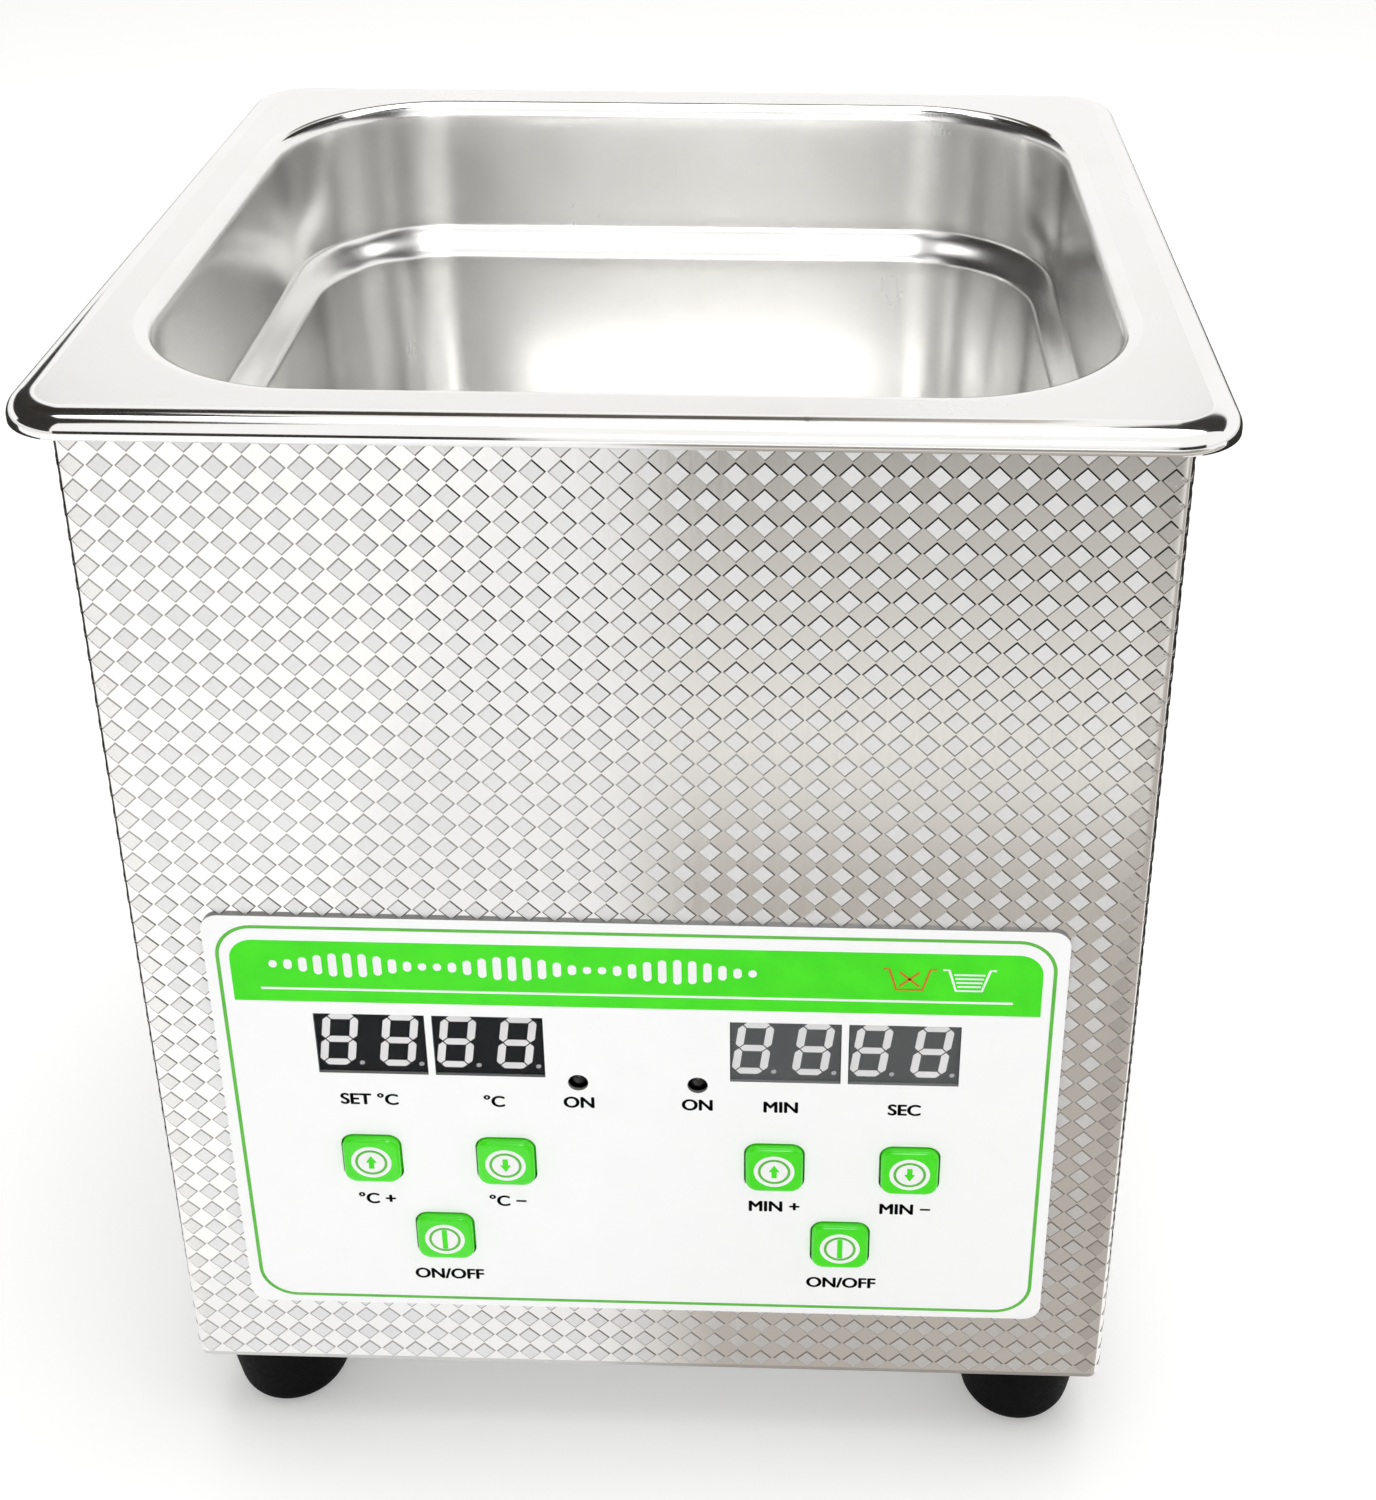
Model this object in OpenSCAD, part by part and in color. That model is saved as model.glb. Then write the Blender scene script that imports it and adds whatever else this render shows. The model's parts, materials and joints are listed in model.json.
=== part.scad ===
// Two-litre bench ultrasonic cleaner: a drawn steel tank hung in a folded, patterned casing.
// Frame: +X to the right, +Y to the back, +Z up. The origin is on the bench, under the middle.

/* [Rim and tank] */
// Width of the rim across the front
rim_w = 176; // [170:1:190]
// Depth of the rim from front to back
rim_d = 162; // [158:1:175]
// Height of the rim above the bench
overall_h = 209; // [206:1:235]
// Distance from the outer edge of the rim to the tank wall
flange_w = 13; // [12:0.5:14]
// Corner radius of the rim seen from above
rim_corner_r = 10.5; // [9:0.5:16]
// Corner radius of the tank opening seen from above
opening_corner_r = 29; // [27:0.5:34]
// Radius of the roll at the outer edge of the rim
roll_r = 3; // [2:0.2:3.4]
// Height of the turned-down edge of the rim
skirt_h = 3.6; // [3.4:0.2:5]
// Radius where the rim turns down into the tank
lip_r = 3; // [2:0.5:4]
// Depth of the tank from rim to floor
tank_depth = 100; // [90:1:104]
// Sheet thickness of the tank
tank_sheet = 0.8; // [0.6:0.1:1.2]
// Depth below the rim at which the shoulder starts
shoulder_depth = 25.5; // [18:0.5:32]
// Height of the shoulder
shoulder_drop = 6; // [4:0.5:10]
// Distance by which the shoulder steps inwards
shoulder_step = 4.5; // [2:0.5:6]
// Inward lean of each lower wall between the shoulder and the floor
wall_draft = 2; // [1:0.5:4]
// Radius between the walls and the floor
floor_r = 14; // [10:1:16]

/* [Casing] */
// Overhang of the rim past the casing
rim_overhang = 6.4; // [6:0.2:7]
// Sheet thickness of the casing
casing_sheet = 0.8; // [0.6:0.1:1]
// Outer radius of the casing's upright bends
bend_r = 2; // [1.5:0.5:6]
// Thickness of the gasket under the rim
gasket_t = 2.2; // [1.5:0.1:3]
// Thickness of the base plate
base_sheet = 1; // [0.8:0.1:1.5]
// Width of the casing's bottom lips
base_lip_w = 8; // [7:0.5:8.5]
// Width of the casing's return flanges behind the rear panel
return_w = 10; // [9:0.5:12]
// Width of each ventilation slot
vent_w = 3; // [2:0.2:3.6]

/* [Feet] */
// Height of the rubber feet
foot_h = 17; // [15:0.5:19]
// Radius of a foot at the base plate
foot_top_r = 12.4; // [11:0.2:13]
// Radius of a foot at the bench before its edge is rounded
foot_bottom_r = 10.2; // [9:0.1:11]
// Radius of the rounded edge at the bench
foot_round = 3.8; // [2:0.2:4.4]
// Distance of each foot's centre from the side of the casing
foot_inset_x = 13.5; // [13.5:0.5:18]
// Distance of each foot's centre from the front or back of the casing
foot_inset_y = 13; // [13:0.5:18]

/* [Control panel] */
// Width of the panel overlay
panel_w = 139.5; // [136:0.5:146]
// Height of the panel overlay
panel_h = 86; // [83:1:90]
// Thickness of the panel overlay
panel_t = 0.6; // [0.4:0.1:1]
// Corner radius of the panel overlay
panel_corner_r = 3; // [1:0.5:6]
// Height of the panel's lower edge above the base
panel_rise = 15.1; // [14:0.1:17]
// Width of one display window
window_w = 18.3; // [17:0.1:19]
// Height of one display window
window_h = 12.7; // [11:0.1:14]
// Distance between the windows of a pair
window_pitch = 19.5; // [19.3:0.1:20.5]
// Distance of each window pair and key group from the panel's centre line
group_x = 34.25; // [33:0.05:36]
// Height of the windows above the panel's middle
window_z = 16.85; // [16:0.05:19]
// Distance of the indicator lamps from the panel's centre line
lamp_x = 9.95; // [8:0.05:11]
// Height of the indicator lamps above the panel's middle
lamp_z = 9.5; // [8:0.1:12]
// Radius of an indicator lamp
lamp_r = 1.5; // [1.2:0.1:1.6]
// Side of a key
key_size = 9.7; // [8:0.1:11]
// Corner radius of a key
key_corner_r = 2; // [1:0.2:3]
// Height of a key's crown in front of the panel
key_proud = 1.2; // [0.9:0.1:2]
// Travel of a key
key_travel = 0.6; // [0.3:0.1:0.8]
// Distance between the two setting keys of a group
key_pitch = 22.9; // [20:0.1:26]
// Distance of the setting keys below the panel's middle
key_drop = 8.2; // [7:0.1:11]
// Distance of the power keys below the panel's middle
power_drop = 25.8; // [24:0.1:29]
// Gap around a key in the panel and casing
key_gap = 0.3; // [0.25:0.05:0.5]

/* [Inside] */
// Depth of a display module
module_depth = 8; // [7:0.5:9]
// Thickness of the circuit boards
board_t = 1.6; // [1:0.2:2]
// Radius of the transducer's face on the tank floor
head_r = 22.5; // [20:0.5:24]
// Height of the transducer's head
head_h = 26; // [20:1:28]
// Radius of the piezo rings
piezo_r = 19; // [16:0.5:19]
// Thickness of one piezo ring
piezo_t = 5; // [4:0.5:6]
// Height of the transducer's steel tail
tail_h = 18; // [14:1:20]
// Depth of the driver board
driver_d = 60; // [58:1:62]
// Height of the standoffs under the driver board
standoff_h = 8; // [7:0.5:10]

/* [Hidden] */
$fn = 64;
rest_gap = 0.1;
slip = 0.05;
slack = 0.2;
open_w = rim_w - 2 * flange_w;
open_d = rim_d - 2 * flange_w;
upper_draft = 0.5;
wall_in = upper_draft + shoulder_step + wall_draft;
floor_in = wall_in + floor_r;
tank_floor_z = overall_h - tank_depth;
tank_under_z = tank_floor_z - tank_sheet;
casing_w = rim_w - 2 * rim_overhang;
casing_d = rim_d - 2 * rim_overhang;
front_y = -casing_d / 2;
rear_y = casing_d / 2;
inner_front_y = front_y + casing_sheet;
inner_rear_y = rear_y - casing_sheet;
wrap_d = casing_d - casing_sheet;
wrap_y = -casing_sheet / 2;
base_top = foot_h + base_sheet;
casing_top = overall_h - tank_sheet - gasket_t;
casing_h = casing_top - base_top;
tank_gap = 1;
hole_w = open_w + 2 * (tank_sheet + tank_gap);
hole_d = open_d + 2 * (tank_sheet + tank_gap);
hole_r = opening_corner_r + tank_sheet + tank_gap;
lip_end_y = inner_rear_y - 13;
m3_r = 1.5;
m3_hole_r = m3_r + slack;
m3_head_r = 2.9;
m3_head_h = 1.8;
m4_r = 2;
m4_hole_r = m4_r + slack;
m4_head_r = 3.7;
m4_head_h = 2.6;
lip_mid = (base_lip_w + casing_sheet) / 2;
rear_screw_x = casing_w / 2 - bend_r - m3_head_r - slack;
rear_screw_z = [base_top + 22, base_top + casing_h / 2, casing_top - 20];
base_side_y = 32;
base_front_x = 34;
foot_x = casing_w / 2 - foot_inset_x;
foot_y = casing_d / 2 - foot_inset_y;
foot_well_r = m4_head_r + 0.6;
foot_well_h = 8;
panel_z = foot_h + panel_rise + panel_h / 2;
window_xs = [group_x - window_pitch / 2, group_x + window_pitch / 2];
pane_gap = 0.1;
module_w = window_pitch - slack;
module_h = window_h + 3;
board_y = front_y + module_depth;
board_back_y = board_y + board_t;
board_w = 134;
board_h = 74;
board_z = panel_z - 2;
stud_x = 62.5;
stud_zs = [board_z - board_h / 2 + 5, board_z + board_h / 2 - 5];
stud_y = board_back_y + 3.4;
spacer_r = 3;
key_flange = 1.2;
key_flange_t = 0.8;
key_back_y = inner_front_y + rest_gap + key_flange_t;
switch_s = 6.2;
switch_h = 3.5;
switch_y = board_y - switch_h;
stem_r = 1.75;
stem_in = 0.8;
lamp_tip_y = front_y - panel_t + 0.4;
electrode_t = 0.4;
tail_z = tank_under_z - head_h - 2 * piezo_t - 2 * electrode_t - tail_h;
bolt_r = 5;
bolt_head_h = 8;
pad_t = 1.5;
pad_w = open_w - 2 * floor_in - 2;
pad_d = open_d - 2 * floor_in - 2;
pad_z = tank_under_z - pad_t;
pad_corner_r = 6;
sensor_r = 3.5;
sensor_h = 8;
sensor_at = [pad_w / 2 - 18.5, 17.5 - pad_d / 2];
cutout_r = 8;
cutout_h = 6;
cutout_at = [18.5 - pad_w / 2, pad_d / 2 - 19.5];
driver_clear = 8.5;
driver_w = 2 * (foot_x - driver_clear);
driver_left = -driver_w / 2;
driver_y = inner_rear_y - base_lip_w - 0.5 - driver_d / 2;
driver_z = base_top + standoff_h;
parts_z = driver_z + board_t;
standoff_x = driver_w / 2 - 5;
standoff_y = driver_d / 2 - 5;
inlet_x = -40;
inlet_z = base_top + 57;
inlet_w = 27;
inlet_h = 19.6;
inlet_depth = 20;
socket_w = 24.6;
socket_h = 17;
socket_depth = 16;
inlet_tail_y = rear_y - inlet_depth;
tab_y = inlet_tail_y - 8;
pins = [[-7, -2], [7, -2], [0, 2]];
earth_at = [-driver_w / 2 - 6, 20];
stud_top = base_top + 7;
lead_r = 1.1;
block_h = 8;
block_d = 8;
block_z = parts_z + block_h;
sink_w = 44;
sink_h = 30;
sink_t = 3;
fin_l = 10;
fin_t = 1.8;
fin_pitch = (sink_w - fin_t) / 7;
sink_x = standoff_x - 3.5 - sink_w;
sink_y = driver_y + 14;
chip_w = 16;
chip_t = 5;
chip_h = 20;
leg_h = 4;
core_w = 36;
core_d = 12;
core_h = 26;
core_yoke = 4;
core_window = 8.4;
core_leg = 9.6;
core_at = [driver_w / 2 - 24, driver_y - 10];
can_r = 9;
can_h = 28;
film_w = 18;
film_h = 14;
ribbon_w = 22;
ribbon_t = 0.9;
ribbon_bend = 5;
ribbon_x = -head_r - ribbon_w / 2 - 3;
socket_t = 7;
sensor_socket_w = 12;
sensor_socket_t = 5;
sensor_socket_h = 6;
sensor_socket_x = 40;
sensor_socket_z = 21;
// Overlap of the swept edges with the flat plates of the tank
weld = 0.5;
inlet_flange_w = 50;
inlet_flange_h = 23;
inlet_flange_t = 2.6;
inlet_corner_r = 4;
inlet_hole_x = 20;
pin_w = 2;
pin_h = 4;

// Points along an arc from angle a to angle b
function arc(c, r, a, b, n) = [for (i = [0:n]) c + r * [cos(a + (b - a) * i / n), sin(a + (b - a) * i / n)]];

// Unit normal on the left of a path at point i, with the given normals at both ends
function side(p, i, first, last) =
    i == 0 ? first : i == len(p) - 1 ? last :
    let (d = p[i + 1] - p[i - 1]) [-d[1], d[0]] / norm(d);

// Outline of a path thickened to its left by t
function thick(p, t, first, last) = concat(p,
    [for (i = [len(p) - 1:-1:0]) p[i] + t * side(p, i, first, last)]);

// Smooth curve through the points, n steps to each span
function smooth(p, n) = concat([for (k = [0:len(p) - 2]) for (i = [0:n - 1])
    let (u = i / n, a = p[max(k - 1, 0)], b = p[k], c = p[k + 1], d = p[min(k + 2, len(p) - 1)])
    b + 0.5 * u * (c - a + u * (2 * a - 5 * b + 4 * c - d + u * (3 * b - a - 3 * c + d)))],
    [p[len(p) - 1]]);

function unit(v) = v / norm(v);

module rrect(w, d, r) {
    square([w - 2 * r, d], center = true);
    square([w, d - 2 * r], center = true);
    for (x = [-1, 1], y = [-1, 1])
        translate([x * (w / 2 - r), y * (d / 2 - r)])
            circle(r);
}

module slot(w, l) {
    square([w, l - w], center = true);
    for (y = [-1, 1])
        translate([0, y * (l - w) / 2])
            circle(w / 2);
}

// Sweeps a profile round a rounded rectangle: profile x points outwards from the outline
module sweep_around(w, d, r) {
    for (x = [0, 1], y = [0, 1])
        mirror([x, 0, 0])
            mirror([0, y, 0])
                translate([w / 2 - r, d / 2 - r, 0])
                    rotate_extrude(angle = 90)
                        translate([r, 0])
                            children();
    for (x = [0, 1])
        mirror([x, 0, 0])
            translate([w / 2, d / 2 - r, 0])
                rotate([90, 0, 0])
                    linear_extrude(d - 2 * r)
                        children();
    for (y = [0, 1])
        mirror([0, y, 0])
            translate([r - w / 2, d / 2, 0])
                rotate([90, 0, 90])
                    linear_extrude(w - 2 * r)
                        children();
}

// Lays a shape drawn in X and Z flat on the plane at height y, growing towards +Y by t
module upright(y, t) {
    translate([0, y + t, 0])
        rotate([90, 0, 0])
            linear_extrude(t)
                children();
}

module pan_screw(r, l, head_r, head_h) {
    difference() {
        union() {
            cylinder(r = r, h = l);
            translate([0, 0, -head_h])
                cylinder(r1 = head_r - 0.7, r2 = head_r, h = head_h);
        }
        for (a = [0, 90])
            rotate(a)
                translate([-head_r * 0.6, -0.4, -head_h - 1])
                    cube([head_r * 1.2, 0.8, 1 + head_h * 0.5]);
    }
}

// A round wire along a smooth curve
module wire(points, r) {
    path = smooth(points, 4);
    n = len(path);
    sides = 8;
    ref = [0.83, 0.52, 0.21];
    ring = [for (i = [0:n - 1])
        let (t = i == 0 ? unit(points[1] - points[0])
            : i == n - 1 ? unit(points[len(points) - 1] - points[len(points) - 2])
            : unit(path[i + 1] - path[i - 1]))
        let (u = unit(cross(t, ref)), v = cross(t, u))
        for (k = [0:sides - 1]) path[i] + r * (cos(360 * k / sides) * u + sin(360 * k / sides) * v)];
    wall = [for (i = [0:n - 2], k = [0:sides - 1])
        let (a = i * sides + k, b = i * sides + (k + 1) % sides)
        [a, a + sides, b + sides, b]];
    ends = [[for (k = [0:sides - 1]) k], [for (k = [sides - 1:-1:0]) (n - 1) * sides + k]];
    polyhedron(ring, concat(wall, ends), convexity = 6);
}

module tank() {
    wall = concat(
        arc([lip_r, -lip_r], lip_r, 90, 180, 5),
        [for (i = [0:6]) [-upper_draft - shoulder_step * (1 - cos(30 * i)) / 2,
            -shoulder_depth - shoulder_drop * i / 6]],
        arc([-floor_in, floor_r - tank_depth], floor_r, 0, -90, 7));
    edge = concat(
        [[0, -skirt_h]],
        arc([-roll_r, -roll_r], roll_r, 0, 90, 6),
        [[-roll_r - weld, 0], [-roll_r - weld, -tank_sheet]],
        arc([-roll_r, -roll_r], roll_r - tank_sheet, 90, 0, 6),
        [[-tank_sheet, -skirt_h]]);
    skin = thick(wall, tank_sheet, [0, -1], [0, -1]);
    run = len(wall);
    shell = concat(
        [for (i = [0:run - 1]) skin[i]],
        [skin[run - 1] - [weld, 0], skin[run] - [weld, 0]],
        [for (i = [run:2 * run - 1]) skin[i]],
        [skin[2 * run - 1] + [weld, 0], skin[0] + [weld, 0]]);
    color("silver")
    translate([0, 0, overall_h]) {
        sweep_around(rim_w, rim_d, rim_corner_r)
            polygon(edge);
        translate([0, 0, -tank_sheet])
            linear_extrude(tank_sheet)
                difference() {
                    rrect(rim_w - 2 * roll_r, rim_d - 2 * roll_r, rim_corner_r - roll_r);
                    rrect(open_w + 2 * lip_r, open_d + 2 * lip_r, opening_corner_r + lip_r);
                }
        sweep_around(open_w, open_d, opening_corner_r)
            polygon(shell);
        translate([0, 0, -tank_depth - tank_sheet])
            linear_extrude(tank_sheet)
                rrect(open_w - 2 * floor_in, open_d - 2 * floor_in, opening_corner_r - floor_in);
    }
}

module rim_gasket() {
    color("whitesmoke")
    translate([0, 0, casing_top])
        linear_extrude(gasket_t)
            difference() {
                rrect(casing_w - 0.4, casing_d - 0.4, bend_r);
                rrect(open_w + 2 * lip_r + 0.6, open_d + 2 * lip_r + 0.6, opening_corner_r + lip_r);
            }
}

module casing_holes() {
    for (s = [-1, 1]) {
        translate([s * group_x, window_z])
            square([window_pitch + module_w + 2 * slack, module_h + 2 * slack], center = true);
        translate([s * lamp_x, lamp_z])
            circle(lamp_r + 0.4);
    }
    key_places()
        rrect(key_size + 2 * key_gap, key_size + 2 * key_gap, key_corner_r + key_gap);
}

module key_places() {
    for (s = [-1, 1]) {
        for (k = [-1, 1])
            translate([s * group_x + k * key_pitch / 2, -key_drop])
                children();
        translate([s * group_x, -power_drop])
            children();
    }
}

module wrap_outline(inset) {
    translate([0, wrap_y])
        rrect(casing_w - 2 * inset, wrap_d - 2 * inset, bend_r - inset);
}

module front_half() {
    translate([-rim_w, -rim_d])
        square([2 * rim_w, rim_d + lip_end_y]);
}

module casing_wrap() {
    color("gainsboro")
    difference() {
        union() {
            translate([0, 0, base_top])
                linear_extrude(casing_h)
                    difference() {
                        wrap_outline(0);
                        wrap_outline(casing_sheet);
                        translate([return_w - casing_w / 2, 0])
                            square([casing_w - 2 * return_w, rim_d]);
                    }
            translate([0, 0, casing_top - casing_sheet])
                linear_extrude(casing_sheet)
                    difference() {
                        intersection() {
                            wrap_outline(casing_sheet / 2);
                            front_half();
                        }
                        rrect(hole_w, hole_d, hole_r);
                    }
            translate([0, 0, base_top])
                linear_extrude(casing_sheet)
                    difference() {
                        intersection() {
                            wrap_outline(casing_sheet / 2);
                            front_half();
                        }
                        translate([0, base_lip_w])
                            square([casing_w - 2 * base_lip_w, casing_d], center = true);
                    }
            for (x = [-1, 1], z = stud_zs)
                translate([x * stud_x, inner_front_y - casing_sheet / 2, z])
                    rotate([-90, 0, 0])
                        cylinder(r = m3_r, h = stud_y - inner_front_y + casing_sheet / 2);
        }
        translate([0, 0, panel_z])
            upright(front_y - 1, casing_sheet + 2)
                casing_holes();
        for (x = [-1, 1], z = rear_screw_z)
            translate([x * rear_screw_x, inner_rear_y - 5, z])
                rotate([-90, 0, 0])
                    cylinder(r = m3_r + slip, h = 10);
        for (at = base_screw_spots())
            translate([at[0], at[1], base_top - 1])
                cylinder(r = m3_r + slip, h = casing_sheet + 2);
    }
}

function base_screw_spots() = [
    for (x = [-1, 1], y = [-1, 1]) [x * (casing_w / 2 - lip_mid), y * base_side_y],
    for (x = [-1, 1], y = [-1, 1]) [x * base_front_x, y * (casing_d / 2 - lip_mid)]];

module rear_panel() {
    panel_half = casing_w / 2 - bend_r;
    lip_half = casing_w / 2 - return_w - 1;
    color("gainsboro")
    difference() {
        union() {
            upright(inner_rear_y, casing_sheet)
                translate([-panel_half, base_top])
                    square([2 * panel_half, casing_h]);
            translate([0, 0, base_top])
                linear_extrude(casing_sheet)
                    translate([-lip_half, rear_y - base_lip_w])
                        square([2 * lip_half, base_lip_w - casing_sheet / 2]);
            translate([0, 0, casing_top - casing_sheet])
                linear_extrude(casing_sheet)
                    translate([-lip_half, hole_d / 2])
                        square([2 * lip_half, inner_rear_y + casing_sheet / 2 - hole_d / 2]);
        }
        translate([inlet_x, 0, inlet_z])
            upright(inner_rear_y - 1, casing_sheet + 2) {
                square([inlet_w + 2 * slack, inlet_h + 2 * slack], center = true);
                for (x = [-inlet_hole_x, inlet_hole_x])
                    translate([x, 0])
                        circle(m3_hole_r);
            }
        for (i = [0:5])
            translate([40, 0, base_top + 26 + 8 * i])
                upright(inner_rear_y - 1, casing_sheet + 2)
                    rotate(90)
                        slot(vent_w, 46);
        for (x = [-1, 1], z = rear_screw_z)
            translate([x * rear_screw_x, inner_rear_y - 1, z])
                rotate([-90, 0, 0])
                    cylinder(r = m3_hole_r, h = casing_sheet + 2);
        for (at = base_screw_spots())
            translate([at[0], at[1], base_top - 1])
                cylinder(r = m3_r + slip, h = casing_sheet + 2);
    }
}

module rear_screws() {
    color("silver")
    for (x = [-1, 1], z = rear_screw_z)
        translate([x * rear_screw_x, rear_y, z])
            rotate([90, 0, 0])
                pan_screw(m3_r, 7, m3_head_r, m3_head_h);
}

module base_plate() {
    color("lightgray")
    difference() {
        union() {
            translate([0, 0, foot_h])
                linear_extrude(base_sheet)
                    rrect(casing_w - 0.4, casing_d - 0.4, bend_r);
            translate([earth_at[0], earth_at[1], foot_h + base_sheet / 2])
                cylinder(r = m4_r, h = stud_top - foot_h - base_sheet / 2);
        }
        for (at = base_screw_spots())
            translate([at[0], at[1], foot_h - 1])
                cylinder(r = m3_hole_r, h = base_sheet + 2);
        foot_places()
            translate([0, 0, foot_h - 1])
                cylinder(r = m4_hole_r, h = base_sheet + 2);
        for (i = [-4:4])
            translate([10 * i, -26, foot_h - 1])
                linear_extrude(base_sheet + 2)
                    slot(vent_w, 40);
    }
}

module foot_places() {
    for (x = [-1, 1], y = [-1, 1])
        translate([x * foot_x, y * foot_y, 0])
            children();
}

module base_screws() {
    color("silver")
    for (at = base_screw_spots())
        translate([at[0], at[1], foot_h])
            pan_screw(m3_r, 6, m3_head_r, m3_head_h);
}

module foot(x, y) {
    slope = atan((foot_top_r - foot_bottom_r) / foot_h);
    bend = arc([foot_bottom_r - foot_round, foot_round], foot_round, -90, -slope, 6);
    color([0.08, 0.08, 0.08])
    translate([x * foot_x, y * foot_y, 0])
        difference() {
            rotate_extrude()
                polygon(concat([[0, 0]], bend, [[foot_top_r, foot_h], [0, foot_h]]));
            translate([0, 0, -1])
                cylinder(r = foot_well_r, h = foot_well_h + 1);
            cylinder(r = m4_hole_r, h = foot_h + 1);
        }
}

module foot_front_left() {
    foot(-1, -1);
}

module foot_front_right() {
    foot(1, -1);
}

module foot_rear_left() {
    foot(-1, 1);
}

module foot_rear_right() {
    foot(1, 1);
}

module foot_screws() {
    color("silver")
    foot_places()
        translate([0, 0, foot_well_h])
            pan_screw(m4_r, base_top - foot_well_h + 4.5, m4_head_r, m4_head_h);
}

module foot_nuts() {
    color("silver")
    foot_places()
        translate([0, 0, base_top])
            difference() {
                cylinder(r = 4.04, h = 3.2, $fn = 6);
                translate([0, 0, -1])
                    cylinder(r = m4_r + slip, h = 6);
            }
}

module panel_overlay() {
    color("white")
    translate([0, 0, panel_z])
        upright(front_y - panel_t, panel_t)
            difference() {
                rrect(panel_w, panel_h, panel_corner_r);
                for (s = [-1, 1]) {
                    for (x = window_xs)
                        translate([s * x, window_z])
                            square([window_w, window_h], center = true);
                    translate([s * lamp_x, lamp_z])
                        circle(lamp_r + 0.2);
                }
                key_places()
                    rrect(key_size + 2 * key_gap, key_size + 2 * key_gap, key_corner_r + key_gap);
            }
}

// Clear panes that fill a pair of windows flush with the overlay
module display_lens(s) {
    color([0.8, 0.85, 0.9, 0.5])
    translate([0, 0, panel_z + window_z])
        upright(front_y - panel_t, panel_t)
            for (x = window_xs)
                translate([s * x, 0])
                    square([window_w - 2 * pane_gap, window_h - 2 * pane_gap], center = true);
}

module display_lens_left() {
    display_lens(-1);
}

module display_lens_right() {
    display_lens(1);
}

module display_module(x) {
    color([0.05, 0.05, 0.05])
    translate([x, 0, panel_z + window_z])
        upright(front_y, module_depth)
            square([module_w, module_h], center = true);
}

module display_set_temp() {
    display_module(-window_xs[1]);
}

module display_temp() {
    display_module(-window_xs[0]);
}

module display_minutes() {
    display_module(window_xs[0]);
}

module display_seconds() {
    display_module(window_xs[1]);
}

module lamp(x) {
    color([0.1, 0.1, 0.1])
    translate([x, lamp_tip_y, panel_z + lamp_z])
        rotate([-90, 0, 0]) {
            translate([0, 0, lamp_r])
                sphere(lamp_r);
            translate([0, 0, lamp_r])
                cylinder(r = lamp_r, h = 3.5);
            translate([0, 0, lamp_r + 3.5])
                cylinder(r = lamp_r + 0.4, h = 1);
            for (k = [-0.8, 0.8])
                translate([k - 0.25, -0.25, lamp_r + 4])
                    cube([0.5, 0.5, board_y - lamp_tip_y - lamp_r - 4]);
        }
}

module lamp_heat() {
    lamp(-lamp_x);
}

module lamp_timer() {
    lamp(lamp_x);
}

// A crowned square key with a stop flange behind the casing
module key(x, z) {
    crown_y = front_y - panel_t - key_proud;
    crown_r = 2.2 * key_size;
    color([0.3, 0.85, 0.1])
    translate([x, 0, panel_z + z]) {
        intersection() {
            upright(crown_y, key_back_y - key_flange_t - crown_y)
                rrect(key_size, key_size, key_corner_r);
            translate([0, crown_y + crown_r, 0])
                sphere(crown_r, $fn = 96);
        }
        upright(key_back_y - key_flange_t, key_flange_t)
            square(key_size + 2 * key_flange, center = true);
    }
}

module stem(x, z) {
    color([0.1, 0.1, 0.1])
    translate([x, key_back_y, panel_z + z])
        rotate([-90, 0, 0])
            cylinder(r = stem_r, h = switch_y + stem_in - key_back_y);
}

module key_temp_up() {
    key(-group_x - key_pitch / 2, -key_drop);
}

module key_temp_down() {
    key(-group_x + key_pitch / 2, -key_drop);
}

module key_heat() {
    key(-group_x, -power_drop);
}

module key_time_up() {
    key(group_x - key_pitch / 2, -key_drop);
}

module key_time_down() {
    key(group_x + key_pitch / 2, -key_drop);
}

module key_timer() {
    key(group_x, -power_drop);
}

module stem_temp_up() {
    stem(-group_x - key_pitch / 2, -key_drop);
}

module stem_temp_down() {
    stem(-group_x + key_pitch / 2, -key_drop);
}

module stem_heat() {
    stem(-group_x, -power_drop);
}

module stem_time_up() {
    stem(group_x - key_pitch / 2, -key_drop);
}

module stem_time_down() {
    stem(group_x + key_pitch / 2, -key_drop);
}

module stem_timer() {
    stem(group_x, -power_drop);
}

module switch_bodies() {
    bore = stem_in + key_travel + slack;
    color([0.2, 0.2, 0.2])
    translate([0, 0, panel_z])
        difference() {
            upright(switch_y, switch_h)
                key_places()
                    square(switch_s, center = true);
            upright(switch_y - 1, bore + 1)
                key_places()
                    circle(stem_r + slip);
        }
}

module stud_places() {
    for (x = [-1, 1], z = stud_zs)
        translate([x * stud_x, z])
            children();
}

module control_board() {
    color([0.1, 0.4, 0.2])
    upright(board_y, board_t)
        difference() {
            translate([0, board_z])
                square([board_w, board_h], center = true);
            stud_places()
                circle(m3_hole_r);
        }
}

module board_spacers() {
    color("white")
    upright(inner_front_y, board_y - inner_front_y)
        stud_places()
            difference() {
                circle(spacer_r);
                circle(m3_hole_r);
            }
}

module board_nuts() {
    color("silver")
    upright(board_back_y, 2.4)
        stud_places()
            difference() {
                circle(3.1, $fn = 6);
                circle(m3_r + slip);
            }
}

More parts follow.
